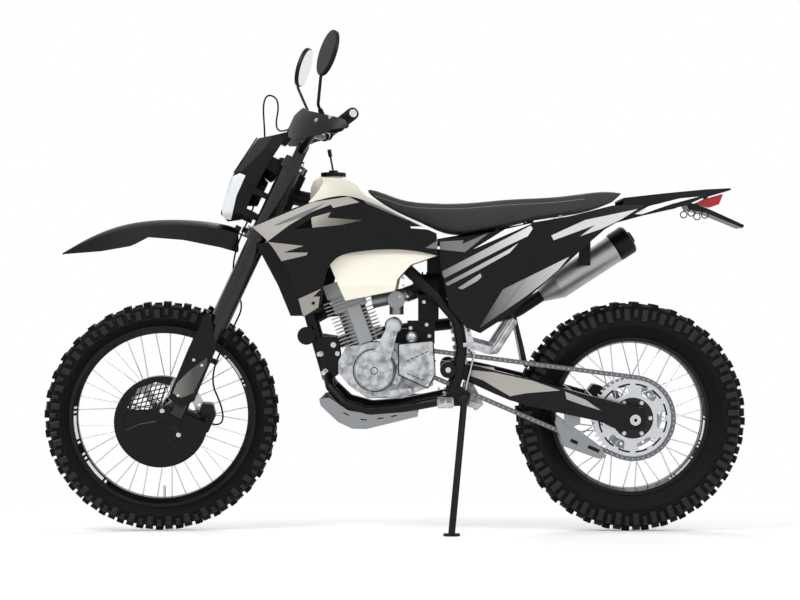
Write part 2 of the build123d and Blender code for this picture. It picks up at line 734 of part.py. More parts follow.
def hand_guard(hand):
    """An open-ended wrap of plastic in front of the grip, on an arm from the bar."""
    base = bar_centre_height()
    leans = [(base + height, outward) for height, outward in GUARD_CROWN]
    shell = standing_shell(GUARD_PLAN, leans, GUARD_WALL, hand, -1.0, 0.0)
    face = front_prism([(hand * y, base + z) for y, z in GUARD_FACE], -140, 100, 6)
    wrap = max((shell & face).solids(), key=lambda s: s.volume)
    ends = handlebar_points(hand)
    arm_foot = (ends[2][0] + 20, hand * 208, ends[2][2] + 6)
    arm = rod((-74, hand * 243, base + 52), arm_foot, 7)
    bar_room = bent_tube(ends, BAR_R + SEAT_GAP, 45)
    arm = max((arm - bar_room).solids(), key=lambda s: -s.center().X)
    return joined([wrap, arm])


# Engine

CASE_SIDE = [
    (-172, 513), (-150, 556), (-60, 570), (20, 566), (104, 572), (116, 540), (112, 440), (71, 424),
    (20, 402), (-85, 402), (-140, 440), (-172, 478),
]
CASE_LEFT = -60.0
CASE_RIGHT = 68.0
COVER_LEFT = -118.0
CRANK_X = -62.0
CRANK_Z = 489.0
CRANK_COVER_R = 60.0
STARTER_X = -6.0
STARTER_Z = 620.0
STARTER_R = 24.0
SPROCKET_COVER = [(12, 566), (110, 576), (116, 478), (95, 440), (12, 479)]


def engine_case():
    """Crankcase with the generator cover, starter drive, sprocket cover and clutch cover."""
    case = side_prism(CASE_SIDE, CASE_LEFT, CASE_RIGHT, 10)
    ring_room = barrel(
        CRANK_COVER_R - 14, COVER_LEFT - 1, COVER_LEFT + 4
    ) - barrel(15, COVER_LEFT - 2, COVER_LEFT + 5)
    crank_cover = barrel(CRANK_COVER_R, COVER_LEFT, CASE_LEFT)
    crank_cover = chamfer(crank_cover.edges().group_by(Axis.Y)[0], 5) - ring_room
    crank_cover = (Pos(CRANK_X, 0, CRANK_Z) * crank_cover).solid()
    flare = barrel(CRANK_COVER_R + 22, -84, CASE_LEFT, CRANK_X, CRANK_Z)
    starter = barrel(STARTER_R, COVER_LEFT + 8, CASE_RIGHT - 60)
    starter = chamfer(starter.edges().group_by(Axis.Y)[0], 4)
    starter = (Pos(STARTER_X, 0, STARTER_Z) * starter).solid()
    reach_x = STARTER_X - CRANK_X
    reach_z = STARTER_Z - CRANK_Z
    length = math.hypot(reach_x, reach_z)
    side_x = reach_z / length
    side_z = -reach_x / length
    web = side_prism(
        [
            (CRANK_X + side_x * 40, CRANK_Z + side_z * 40),
            (STARTER_X + side_x * 16, STARTER_Z + side_z * 16),
            (STARTER_X - side_x * 16, STARTER_Z - side_z * 16),
            (CRANK_X - side_x * 26, CRANK_Z - side_z * 26),
        ],
        COVER_LEFT + 6, CASE_LEFT,
    )
    cover = side_prism(SPROCKET_COVER, -126, CASE_LEFT, 5)
    cover_room = side_prism(
        [(19, 483), (19, 560), (104, 569), (150, 569), (150, 448), (90, 448)], -121, CASE_LEFT
    )
    clutch = barrel(78, CASE_RIGHT, 104, 18, 492)
    crank_right = barrel(52, CASE_RIGHT, 92, CRANK_X - 18, CRANK_Z - 10)
    cover_shell = (cover - cover_room).solid()
    return joined([
        case.solid(), crank_cover, flare, starter, web.solid(), clutch, crank_right, cover_shell,
        front_sprocket(),
    ])


CYLINDER_TILT = 20.0
CYLINDER_X = -98.0
CYLINDER_Z = 562.0
FIN_PITCH = 11.0
FIN_THICKNESS = 3.2
BARREL_FINS = 9
HEAD_FINS = 4
FIN_LENGTH = 128.0
FIN_HALF_Y = 60.0


def engine_top(case):
    """Finned barrel, finned head and rocker cover, tilted forward on the case."""
    fins = []
    for i in range(BARREL_FINS):
        height = 14 + FIN_PITCH * i
        fin = Pos(0, 0, height) * Box(FIN_LENGTH, 2 * FIN_HALF_Y, FIN_THICKNESS)
        fins.append(fin)
    top = 14 + FIN_PITCH * BARREL_FINS
    for i in range(HEAD_FINS):
        fin = Pos(0, 0, top + 6 + FIN_PITCH * i) * Box(FIN_LENGTH + 14, 2 * FIN_HALF_Y + 4, FIN_THICKNESS)
        fins.append(fin)
    head_top = top + 6 + FIN_PITCH * HEAD_FINS
    core = Cylinder(44, top, align=(Align.CENTER, Align.CENTER, Align.MIN))
    tunnel = Pos(12, -FIN_HALF_Y + 10, top / 2 + 4) * Box(40, 30, top)
    head = Pos(0, 0, (top + head_top) / 2) * Box(96, 96, head_top - top)
    rocker = Pos(0, 0, head_top + 20) * Box(110, 104, 44)
    body = fins[0].fuse(*fins[1:], core, tunnel, head, rocker).clean()
    return Pos(CYLINDER_X, 0, CYLINDER_Z) * Rot(0, -CYLINDER_TILT, 0) * body - case


CARB_X = -20.0
CARB_Z = 700.0


def carburettor(engine, box):
    """Inlet stub, carburettor and the rubber boot to the air box."""
    body = barrel(26, -30, 30, CARB_X + 20, CARB_Z - 4)
    bowl = Pos(CARB_X + 20, 0, CARB_Z - 34) * Cylinder(22, 30)
    throat = rod((-74, 0, 690), (30, 14, 712), 21)
    boot = bent_tube([(28, 13, 711), (58, 28, 722), (AIRBOX_FRONT - SEAT_GAP, 54, 742)], 23, 20)
    return joined([body, bowl.solid(), throat, boot]) - engine - box


AIRBOX_FRONT = 92.0
AIRBOX_REAR = 340.0


def airbox():
    """The air box fills the space behind the engine, with a bay for the shock absorber."""
    body = block(AIRBOX_FRONT, AIRBOX_REAR, 36, 60, 700, 850).fuse(
        block(228, AIRBOX_REAR, -60, 60, 690, 850)
    )
    return body


# Frame

def head_point(height, rearward=0.0):
    """A point of the steering line, in drawing coordinates."""
    x = HEAD_X + height * SIN_RAKE + rearward * COS_RAKE
    z = HEAD_Z + height * COS_RAKE - rearward * SIN_RAKE
    return (x, 0, z)


HEAD_TUBE_LOW = LOWER_CLAMP_BASE + LOWER_CLAMP_HEIGHT + 0.5
HEAD_TUBE_HIGH = UPPER_CLAMP_BASE - 0.5


def frame_spine():
    """Head tube, backbone and the single down tube."""
    head = rod(head_point(HEAD_TUBE_LOW), head_point(HEAD_TUBE_HIGH), HEAD_TUBE_R)
    spine = bent_tube([head_point(764, 8), (-60, 0, 955), (60, 0, 868)], SPINE_R, 60)
    down = bent_tube(
        [head_point(700, 12), (-263, 0, 656), (-224, 0, 520), (-206, 0, 458)], DOWN_TUBE_R, 120
    )
    rest = block(TANK_REST_X - 15, TANK_REST_X + 15, -20, 20, 984, TANK_ROOF - SEAT_GAP)
    body = joined([head, spine, down, rest])
    return body - rod(head_point(500), head_point(950), STEM_R + SEAT_GAP)


HORN_X = -268.0
HORN_Z = 589.0
HORN_R = 25.0


def horn(spine):
    """The horn on its stay beside the down tube."""
    body = barrel(HORN_R, -62, -40, HORN_X, HORN_Z)
    rim_ring = barrel(HORN_R + 2, -60, -56, HORN_X, HORN_Z)
    centre = barrel(8, -66, -60, HORN_X, HORN_Z)
    stay = block(HORN_X - 3, HORN_X + 9, -42, -10, HORN_Z - 2, HORN_Z + 2)
    return joined([body, rim_ring, centre, max((stay - spine).solids(), key=lambda s: -s.center().Y)])


SPAR_POINTS = [
    (46, 20, 868), (20, 84, 800), (119, SPAR_Y, 712), (183, SPAR_Y, 638), (197, SPAR_Y, 560),
    (183, SPAR_Y, 467), (160, SPAR_Y, 398),
]


def spar_tube(hand, radius):
    points = [(x, hand * y, z) for x, y, z in SPAR_POINTS]
    return bent_tube(points, radius, [26, 26, 60, 70, 90])


def frame_spar(hand, spine):
    """The tube behind the engine, with the boss that takes the swingarm bolt."""
    tube = spar_tube(hand, SPAR_R)
    low_y, high_y = sorted((hand * 92, hand * 127))
    boss = barrel(24, low_y, high_y, PIVOT_X, PIVOT_Z)
    body = joined([tube, boss]) - spine
    return body - barrel(PIVOT_BOLT_R + SHAFT_CLEARANCE, -200, 200, PIVOT_X, PIVOT_Z)


CRADLE_BENDS = [20, 30, 60, 100]


def cradle_points(hand):
    return [
        (-214, 0, 480), (-196, hand * 62, 436), (-150, hand * 88, 388), (-78, hand * CRADLE_Y, 368),
        (21, hand * CRADLE_Y, 376), (160, hand * 106, 404),
    ]


def frame_cradle(hand, spine, spar):
    """The lower cradle tube from the down tube back to the spar, with the engine plate."""
    tube = bent_tube(cradle_points(hand), CRADLE_R, CRADLE_BENDS)
    tube = tube.fuse(rod((LINK_X, hand * LINK_HALF, LINK_Z), (LINK_X, hand * 92, LINK_Z), 9))
    low_y, high_y = sorted((hand * 20.3, hand * 25.3))
    plate = side_prism(
        [(-246, 585), (-178, 585), (-168, 520), (-176, 470), (-200, 452), (-222, 470)], low_y, high_y, 6
    )
    trimmed = tube - spine
    if hand > 0:
        trimmed = trimmed - block(-260, 0, -20, 0, 380, 520)
    else:
        trimmed = trimmed - block(-260, 0, 0, 20, 380, 520)
    trimmed = trimmed - spar
    case_room = side_prism([(x, z) for x, z in CASE_SIDE], CASE_LEFT - 1, CASE_RIGHT + 1)
    return joined([s for s in (trimmed.fuse(plate) - case_room).solids()])


def subframe(spine, spars):
    """Seat rails and their braces back to the tail."""
    pieces = []
    for hand in (-1, 1):
        pieces.append(
            bent_tube(
                [(62, hand * 30, 862), (110, hand * SUBFRAME_Y, 866), (700, hand * SUBFRAME_Y, 968)],
                SUBFRAME_R, 30,
            )
        )
        pieces.append(
            bent_tube(
                [(190, hand * 108, 622), (240, hand * SUBFRAME_Y, 680), (540, hand * SUBFRAME_Y, 930)],
                SUBFRAME_R, 30,
            )
        )
    tail_half = height_on(REAR_FENDER_PLAN, 690 + SUBFRAME_R + PANEL_WALL) - PANEL_WALL - SEAT_GAP
    for x, z, half in ((120, 867, SUBFRAME_Y), (560, 944, SUBFRAME_Y), (690, 967, tail_half)):
        pieces.append(rod((x, -half, z), (x, half, z), SUBFRAME_R - 1))
    for hand in (-1, 1):
        low_y, high_y = sorted((hand * (SUBFRAME_Y - 8), hand * (SUBFRAME_Y + 8)))
        pad_top = height_on(SEAT_LOW, SEAT_PAD_X - 10) - SEAT_GAP
        pieces.append(block(SEAT_PAD_X - 10, SEAT_PAD_X + 10, low_y, high_y, pad_top - 18, pad_top))
    body = joined(pieces) - spine
    for spar in spars:
        body = body - spar
    return max(body.solids(), key=lambda s: s.volume)


SWINGARM_SIDE = [
    (134, 506), (180, 508), (238, 503), (403, 463), (568, 417), (666, 392), (738, 378), (738, 318),
    (662, 312), (601, 340), (469, 368), (337, 402), (225, 450), (180, 468), (134, 476),
]
SWINGARM_WALL = 28.0
ARM_BEND_X = 290.0


def swingarm():
    """Two tapering arms, each a knee and a straight part, and the casting that joins them."""
    tubes = [barrel(22, -60, 60, PIVOT_X, PIVOT_Z), barrel(18, -88, 88, PIVOT_X, PIVOT_Z)]
    arms = []
    for hand in (-1, 1):
        inner = [(130, hand * 60), (216, hand * 60), (ARM_BEND_X, hand * 90), (738, hand * 90)]
        band = plan_band(inner, SWINGARM_WALL, 300, 520)
        arm = band & side_prism(SWINGARM_SIDE, -130, 130, 6)
        arms.append((arm & block(100, ARM_BEND_X, -130, 130, 300, 520)).solid())
        arms.append((arm & block(ARM_BEND_X, 760, -130, 130, 300, 520)).solid())
    brace = side_prism([(236, 494), (300, 484), (306, 440), (250, 440)], -90, 90, 6)
    middle = joined([*tubes, brace.solid()])
    for arm in arms:
        middle = middle - arm
    middle = max(middle.solids(), key=lambda s: s.volume)
    pivot_room = barrel(PIVOT_BOLT_R + SHAFT_CLEARANCE, -200, 200, PIVOT_X, PIVOT_Z)
    axle_room = barrel(REAR_AXLE_R + SHAFT_CLEARANCE, -200, 200, REAR_AXLE_X, REAR_AXLE_Z)
    return Compound([(part - pivot_room - axle_room).solid() for part in (middle, *arms)])


def pivot_bolt():
    return barrel(PIVOT_BOLT_R, -130, 130, PIVOT_X, PIVOT_Z)


def rear_axle():
    """Rear axle with its spacers, nuts and chain adjuster plates."""
    axle = barrel(REAR_AXLE_R, -134, 134, REAR_AXLE_X, REAR_AXLE_Z)
    left_nut = barrel(16, -130, -118 - SEAT_GAP, REAR_AXLE_X, REAR_AXLE_Z)
    right_nut = barrel(16, 118 + SEAT_GAP, 130, REAR_AXLE_X, REAR_AXLE_Z)
    left_spacer = barrel(
        14, -90 + SEAT_GAP, CHAIN_Y - SPROCKET_THICKNESS / 2 - SEAT_GAP, REAR_AXLE_X, REAR_AXLE_Z
    )
    right_spacer = barrel(
        14, REAR_DISC_Y + DISC_THICKNESS / 2 + SEAT_GAP, 90 - SEAT_GAP, REAR_AXLE_X, REAR_AXLE_Z
    )
    body = joined([axle, left_nut, right_nut, left_spacer, right_spacer])
    return body - barrel(AXLE_BORE_R, -200, 200, REAR_AXLE_X, REAR_AXLE_Z)


SHOCK_TOP = (168, 0, 822)
SHOCK_FOOT = (216, 0, 432)


def shock():
    """Shock absorber: body, shaft and a stack of spring coils."""
    top = Vector(*SHOCK_TOP)
    foot = Vector(*SHOCK_FOOT)
    along = (foot - top).normalized()
    body = rod(tuple(top), tuple(top + along * 180), 20)
    shaft = rod(tuple(top + along * 170), tuple(foot), 8)
    coils = []
    for i in range(9):
        at = top + along * (95 + 24 * i)
        coils.append(rod(tuple(at), tuple(at + along * 12), 31))
    core = rod(tuple(top + along * 90), tuple(top + along * 305), 24)
    eyes = [barrel(16, -18, 18, top.X, top.Z), barrel(14, -16, 16, foot.X, foot.Z)]
    strut = joined([body, shaft, core, *coils, *eyes])
    return strut - barrel(6 + SEAT_GAP, -40, 40, foot.X, foot.Z)


def linkage():
    """The rocker's two cheeks round the shock's eye, their bolts and the pull rods to the frame."""
    pieces = [barrel(6, -30, 30, SHOCK_FOOT[0], SHOCK_FOOT[2]), barrel(6, -30, 30, 246, 376)]
    for hand in (-1, 1):
        low_y, high_y = sorted((hand * 16.3, hand * 24))
        cheek = side_prism([(202, 446), (230, 446), (264, 380), (240, 360), (196, 400)], low_y, high_y, 6)
        low_y, high_y = sorted((hand * 24, hand * 30))
        pull_rod = side_prism([(138, 396), (244, 366), (254, 382), (144, 412)], low_y, high_y, 5)
        pieces.extend([cheek.solid(), pull_rod.solid()])
    return joined(pieces)


def chain_loop(grow):
    """The chain's side outline, swollen by grow about its pitch line."""
    rear_r = CHAIN_PITCH / (2 * math.sin(math.pi / REAR_TEETH)) + grow
    front_r = CHAIN_PITCH / (2 * math.sin(math.pi / FRONT_TEETH)) + grow
    reach_x = REAR_AXLE_X - COUNTERSHAFT_X
    reach_z = REAR_AXLE_Z - COUNTERSHAFT_Z
    span = math.hypot(reach_x, reach_z)
    lean = math.atan2(reach_z, reach_x)
    spread = math.acos((front_r - rear_r) / span)
    upper = lean + spread
    lower = lean - spread

    def at(x, z, radius, angle):
        return (x + radius * math.cos(angle), z + radius * math.sin(angle))

    front = (COUNTERSHAFT_X, COUNTERSHAFT_Z)
    rear = (REAR_AXLE_X, REAR_AXLE_Z)
    upper_run = Line(at(*front, front_r, upper), at(*rear, rear_r, upper))
    rear_arc = ThreePointArc(at(*rear, rear_r, upper), at(*rear, rear_r, lean), at(*rear, rear_r, lower))
    lower_run = Line(at(*rear, rear_r, lower), at(*front, front_r, lower))
    front_arc = ThreePointArc(
        at(*front, front_r, lower), at(*front, front_r, lean + math.pi), at(*front, front_r, upper)
    )
    return make_face(Wire([*upper_run.edges(), *rear_arc.edges(), *lower_run.edges(), *front_arc.edges()]))


def chain():
    """The chain: two bands of side plates, with rollers between them along the straight runs."""
    half = CHAIN_PLATE_HEIGHT / 2
    band = chain_loop(half) - chain_loop(-half)
    slot = SPROCKET_THICKNESS / 2 + 0.6
    left = side_slab(band, CHAIN_Y - CHAIN_WIDTH / 2, CHAIN_Y - slot)
    right = side_slab(band, CHAIN_Y + slot, CHAIN_Y + CHAIN_WIDTH / 2)
    rear_r = CHAIN_PITCH / (2 * math.sin(math.pi / REAR_TEETH))
    front_r = CHAIN_PITCH / (2 * math.sin(math.pi / FRONT_TEETH))
    pieces = [left.solid(), right.solid()]
    rollers = 14
    for hand in (-1, 1):
        for i in range(rollers):
            share = 0.1 + 0.66 * i / (rollers - 1)
            x = COUNTERSHAFT_X + share * (REAR_AXLE_X - COUNTERSHAFT_X)
            centre_z = COUNTERSHAFT_Z + share * (REAR_AXLE_Z - COUNTERSHAFT_Z)
            z = centre_z + hand * (front_r + share * (rear_r - front_r)) * 1.02
            pieces.append(block(x - 4, x + 4, CHAIN_Y - slot, CHAIN_Y + slot, z - 4, z + 4))
    loop = joined(pieces)
    front_cut = COUNTERSHAFT_X + front_r * 0.3
    rear_cut = REAR_AXLE_X - rear_r * 0.5
    middle = loop & block(front_cut, rear_cut, CHAIN_Y - 20, CHAIN_Y + 20, 200, 700)
    ends = loop - block(front_cut, rear_cut, CHAIN_Y - 30, CHAIN_Y + 30, 190, 710)
    return Compound([*middle.solids(), *ends.solids()])


def front_sprocket():
    """The drive sprocket on its shaft."""
    pitch_r = CHAIN_PITCH / (2 * math.sin(math.pi / FRONT_TEETH))
    y_low = CHAIN_Y - SPROCKET_THICKNESS / 2
    y_high = CHAIN_Y + SPROCKET_THICKNESS / 2
    body = barrel(pitch_r - 5, y_low, y_high, COUNTERSHAFT_X, COUNTERSHAFT_Z)
    shaft = barrel(12, y_low - 8, CASE_LEFT, COUNTERSHAFT_X, COUNTERSHAFT_Z)
    teeth = []
    for i in range(FRONT_TEETH):
        tooth = side_prism(
            [(pitch_r - 9, -5), (pitch_r + 3, -1.8), (pitch_r + 3, 1.8), (pitch_r - 9, 5)], y_low, y_high
        )
        tooth = Rot(0, 360 / FRONT_TEETH * i, 0) * tooth.solid()
        teeth.append(Pos(COUNTERSHAFT_X, 0, COUNTERSHAFT_Z) * tooth)
    return joined([body, shaft, *teeth])


CHAIN_GUIDE = [(478, 356), (508, 334), (606, 264), (628, 230), (602, 226), (500, 262), (474, 330)]


def chain_guide():
    """The guide that leads the chain's lower run to the sprocket, hung under the left arm."""
    shell = side_prism(CHAIN_GUIDE, CHAIN_Y - 16, CHAIN_Y + 14, 5)
    run = side_slab(chain_loop(CHAIN_PLATE_HEIGHT / 2 + 4), CHAIN_Y - 12, CHAIN_Y + 10)
    shell = shell - run
    ears = side_prism(
        [(500, 372), (548, 358), (548, 330), (520, 318), (500, 330)], CHAIN_Y - 22, CHAIN_Y - 16
    )
    body = shell.fuse(ears)
    return body - swingarm()


def rear_caliper():
    """The rear caliper on its bracket round the axle."""
    disc_room = DISC_THICKNESS / 2 + 1.5
    body = side_prism([(-128, 4), (-74, 26), (-74, 84), (-104, 92), (-134, 54)], 36, 78, 8)
    slot = barrel(REAR_DISC_R + 2, REAR_DISC_Y - disc_room, REAR_DISC_Y + disc_room)
    arm = side_prism([(-90, 20), (-90, 60), (-10, 22), (-10, -18)], 62, 78)
    body = joined([*(body - slot).solids(), arm.solid(), barrel(26, 62, 78)])
    return Pos(REAR_AXLE_X, 0, REAR_AXLE_Z) * (body - barrel(14 + SEAT_GAP, 0, 200))


# Exhaust

HEADER_POINTS = [
    (-150, 26, 668), (-214, 36, 660), (-262, 62, 634), (-256, 104, 574), (-180, 132, 560), (-60, 146, 588),
    (60, 152, 606), (230, 152, 624),
]
HEADER_R = 19.0
MUFFLER_START = (452, 150, 706)
MUFFLER_END = (682, 150, 856)
MUFFLER_R = 46.0
SEAT_PAD_X = 400.0


def exhaust_header(engine):
    """The header pipe: forward round the down tube and back along the right side."""
    start = Vector(*MUFFLER_START)
    along = (Vector(*MUFFLER_END) - start).normalized()
    points = HEADER_POINTS + [tuple(start - along * 100), MUFFLER_START]
    pipe = bent_tube(points, HEADER_R, [26, 26, 34, 45, 90, 120, 200, 120])
    return pipe - engine


def muffler():
    """The silencer: inlet cone, can, end cap with its outlet, and the hanger."""
    start = Vector(*MUFFLER_START)
    end = Vector(*MUFFLER_END)
    along = (end - start).normalized()
    cone = Solid.make_cone(
        HEADER_R + 3, MUFFLER_R, 60, Plane(origin=tuple(start + along * SEAT_GAP), z_dir=along)
    )
    can = rod(tuple(start + along * 60), tuple(end), MUFFLER_R)
    cap = fillet(rod(tuple(end - along * 4), tuple(end + along * 58), MUFFLER_R + 1.5).edges(), 12)
    band = rod(tuple(end - along * 12), tuple(end - along * 3), MUFFLER_R + 1)
    outlet = rod(tuple(end + along * 40), tuple(end + along * 66), 19)
    bore = rod(tuple(end + along * 10), tuple(end + along * 80), 16)
    hanger = side_prism([(560, 800), (600, 822), (600, 948), (576, 948)], 86, 92)
    foot = block(560, 600, 86, 112, 800, 822)
    return joined([cone, can, band, cap.solid(), outlet, hanger.solid(), foot]) - bore


# Bodywork

def height_on(line, x):
    """The second value of a line of points at x."""
    for (x1, z1), (x2, z2) in zip(line, line[1:]):
        if x1 <= x <= x2:
            return z1 + (z2 - z1) * (x - x1) / (x2 - x1)
    return line[-1][1]


TANK_SIDE = [
    (-256, 1000), (-256, TANK_CROWN - 34), (-247, TANK_CROWN - 11), (-226, TANK_CROWN),
    (-154, TANK_CROWN - 4), (-112, TANK_CROWN - 28), (-94, 1008),
    (-60, 992), (15, 948), (75, 921), (124, 884), (124, 828), (48, 802), (7, 759), (0, 725), (-145, 696),
    (-188, 800), (-236, 880),
]
TANK_FRONT = [
    (58, TANK_CROWN), (96, TANK_CROWN - 28), (128, 980), (150, 900), (168, 830), (166, 740), (150, 696),
    (68, 696), (68, 905), (34, TANK_ROOF - 26), (34, TANK_ROOF),
]
CAP_X = -192.0
CAP_R = 34.0


def fuel_tank(spars):
    """A moulded tank saddled over the backbone, with its filler cap."""
    section = TANK_FRONT + [(-y, z) for y, z in reversed(TANK_FRONT)]
    body = side_prism(TANK_SIDE, -200, 200, 3) & front_prism(section, -300, 200)
    body = body - block(-40, 200, -96, 96, 650, 905)
    for spar in spars:
        body = body - spar
    for hand in (-1, 1):
        body = body - FORK * leg_sweep(hand)
    neck = Pos(CAP_X, 0, TANK_CROWN) * Cylinder(CAP_R - 8, 10)
    return joined([max(body.solids(), key=lambda s: s.volume), neck.solid()])


def tank_cap():
    """The screwed filler cap with its breather stub and hose."""
    middle = TANK_CROWN + 11
    top = TANK_CROWN + 20
    cap = Pos(CAP_X, 0, middle) * Cylinder(CAP_R, 12)
    cap = cap - Pos(CAP_X, 0, TANK_CROWN) * Cylinder(CAP_R - 8 + SEAT_GAP, 10)
    ribs = []
    for i in range(12):
        angle = math.radians(30 * i)
        rib = Pos(CAP_X + CAP_R * math.cos(angle), CAP_R * math.sin(angle), middle) * Cylinder(4, 12)
        ribs.append(rib)
    knob = Pos(CAP_X, 0, top) * Cylinder(14, 8)
    hose = bent_tube([(CAP_X, 0, top), (CAP_X - 4, 0, top + 20), (CAP_X - 10, 0, top + 52)], 3, 14)
    valve = rod((CAP_X - 9, 0, top + 46), (CAP_X - 13, 0, top + 68), 6)
    return joined([cap.solid(), *ribs, knob.solid(), hose, valve])


LEG_ROOM = 44.0
LEG_TURN = 41.0


def leg_sweep(hand):
    """The room that a fork leg and its clamp eyes sweep as the bars turn to their stop."""
    radius = math.hypot(FORK_OFFSET, LEG_Y)
    start = math.degrees(math.atan2(LEG_Y, -FORK_OFFSET))
    ring = Cylinder(radius + LEG_ROOM, 400) - Cylinder(radius - LEG_ROOM, 402)
    reach = 2 * radius
    corners = [(0, 0)]
    for i in range(4):
        angle = math.radians(start - LEG_TURN * i / 3)
        corners.append((reach * math.cos(angle), hand * reach * math.sin(angle)))
    sector = Pos(0, 0, 750) * ring & plan_prism(corners, 560, 940)
    last = math.radians(start - LEG_TURN)
    end = Pos(radius * math.cos(last), hand * radius * math.sin(last), 750) * Cylinder(LEG_ROOM, 380)
    return sector.fuse(end)


SEAT_TOP = [
    (-88, 1030), (-72, 1028), (10, 997), (101, 984), (192, 982), (314, 991), (496, 1002), (650, 1016),
    (672, 1014),
]
SEAT_LOW = [
    (-82, 1018), (15, 958), (75, 931), (135, 904), (171, 895), (225, 898), (345, 922), (405, 937),
    (513, 954), (640, 986),
]
SEAT_ROUND = 16.0
SEAT_PLAN = [(-92, 44), (-40, 62), (100, 92), (300, 122), (500, 128), (690, 104)]


def seat():
    """One long bench."""
    low = list(reversed(SEAT_LOW))
    side = curved_prism([SEAT_TOP, [SEAT_TOP[-1], low[0]], low, [low[-1], SEAT_TOP[0]]], -160, 160)
    mirrored_plan = [(x, -y) for x, y in reversed(SEAT_PLAN)]
    nose = Line(mirrored_plan[-1], SEAT_PLAN[0])
    tail = Line(SEAT_PLAN[-1], mirrored_plan[0])
    outline = make_face(Wire([Spline(*SEAT_PLAN), tail, Spline(*mirrored_plan), nose]))
    body = side & extrude(Plane.XY.offset(850) * outline, 250, dir=(0, 0, 1))
    rims = [e for e in body.edges() if e.length > 500 and e.center().Z > 985]
    return fillet(rims, SEAT_ROUND)


SHROUD_TOP = [
    (-411, 909), (-324, 951), (-237, 984), (-184, 998), (-139, 1002), (-108, 995), (-43, 971), (33, 935),
    (122, 892),
]
SHROUD_REAR = [(122, 892), (126, 826)]
SHROUD_BELLY = [
    (126, 826), (57, 841), (-39, 845), (-110, 838), (-162, 823), (-186, 800), (-200, 768), (-212, 690)
]
SHROUD_TIP = [(-212, 690), (-219, 674), (-266, 650)]
SHROUD_NOSE = [(-266, 650), (-277, 700), (-324, 811), (-363, 868), (-411, 909)]
SHROUD_WINDOW = [(-288, 904), (-237, 938), (-184, 954), (-193, 937), (-90, 930), (-156, 916), (-234, 908)]
SHROUD_PLAN = [(-420, 208), (-330, 202), (-230, 191), (-100, 180), (130, 172)]
# Height and how far the shroud stands out there, against its plan line
SHROUD_LEANS = [(640, -26), (720, -10), (800, 0), (880, 1), (940, -8), (1010, -34)]
SCOOP = [(-404, 862), (-348, 868), (-306, 811), (-259, 700), (-250, 652), (-303, 652), (-340, 742)]
TANK_BOLTS = [(-150, 968), (60, 880)]


def shroud(hand, tank):
    """A tank shroud with its window and its inner air scoop, and the bosses that bolt it to the tank."""
    outline = [SHROUD_TOP, SHROUD_REAR, SHROUD_BELLY, SHROUD_TIP, SHROUD_NOSE]
    shell = standing_shell(SHROUD_PLAN, SHROUD_LEANS, PANEL_WALL, hand) & curved_prism(outline, -240, 240)
    shell = shell - side_prism(SHROUD_WINDOW, -240, 240)
    pieces = [max(shell.solids(), key=lambda s: s.volume)]
    low_y, high_y = sorted((hand * 158, hand * 162))
    pieces.append(side_prism(SCOOP, low_y, high_y).solid())
    for x, z in ((-316, 828), (-266, 700)):
        reach = height_on(SHROUD_PLAN, x) + height_on(SHROUD_LEANS, z)
        low_y, high_y = sorted((hand * 158, hand * (reach + 1)))
        pieces.append(barrel(5, low_y, high_y, x, z))
    for x, z in TANK_BOLTS:
        reach = height_on(SHROUD_PLAN, x) + height_on(SHROUD_LEANS, z)
        low_y, high_y = sorted((hand * 90, hand * (reach + 1)))
        boss = barrel(9, low_y, high_y, x, z) - tank
        pieces.append(max(boss.solids(), key=lambda s: abs(s.center().Y)))
    return joined(pieces)


LEFT_PANEL = [
    (132, 870), (170, 880), (225, 884), (345, 910), (405, 924), (513, 944), (640, 976), (741, 980),
    (700, 954), (616, 905), (563, 860), (501, 803), (407, 720), (354, 667), (250, 600), (209, 617),
    (159, 674),
    (144, 752), (130, 822),
]
RIGHT_PANEL = [
    (132, 870), (170, 880), (225, 884), (345, 910), (405, 924), (513, 944), (640, 976), (741, 980),
    (700, 958), (640, 935), (563, 905), (470, 852), (380, 800), (300, 762), (200, 752), (144, 762),
    (130, 822),
]
PANEL_BOLTS = [(300, 899), (470, 928)]


PANEL_PLAN = [(120, 140), (250, 141), (420, 140), (560, 134), (760, 112)]
PANEL_LEANS = [(590, -12), (700, -1), (800, 0), (900, -6), (990, -18)]
PANEL_GROOVE = [(467, 936), (372, 742), (290, 632), (286, 635), (367, 745), (462, 938)]


def side_panel(hand, outline, rails):
    """A side panel under the seat with the bosses that hold it off the seat rail.

    A groove parts the air box door from the number panel behind it."""
    shell = standing_shell(PANEL_PLAN, PANEL_LEANS, PANEL_WALL, hand)
    shell = shell & side_prism(outline, -160, 160, 3)
    face = standing_shell(PANEL_PLAN, PANEL_LEANS, 1.6, hand)
    groove = side_prism(PANEL_GROOVE, -160, 160) - face
    pieces = [max((shell - groove).solids(), key=lambda s: s.volume)]
    for x, z in PANEL_BOLTS:
        reach = height_on(PANEL_PLAN, x) + height_on(PANEL_LEANS, z)
        low_y, high_y = sorted((hand * (SUBFRAME_Y + SUBFRAME_R - 3), hand * (reach + 1)))
        boss = barrel(7, low_y, high_y, x, z) - rails
        pieces.append(max(boss.solids(), key=lambda s: abs(s.center().Y)))
    return joined(pieces)


REAR_FENDER_TOP = [(677, 1000), (800, 1014), (926, 1027), (1005, 1032)]
REAR_FENDER_LOW = [(1006, 1026), (910, 998), (861, 977), (765, 956), (676, 932)]
REAR_FENDER_PLAN = [(670, 96), (800, 88), (920, 66), (1008, 44)]


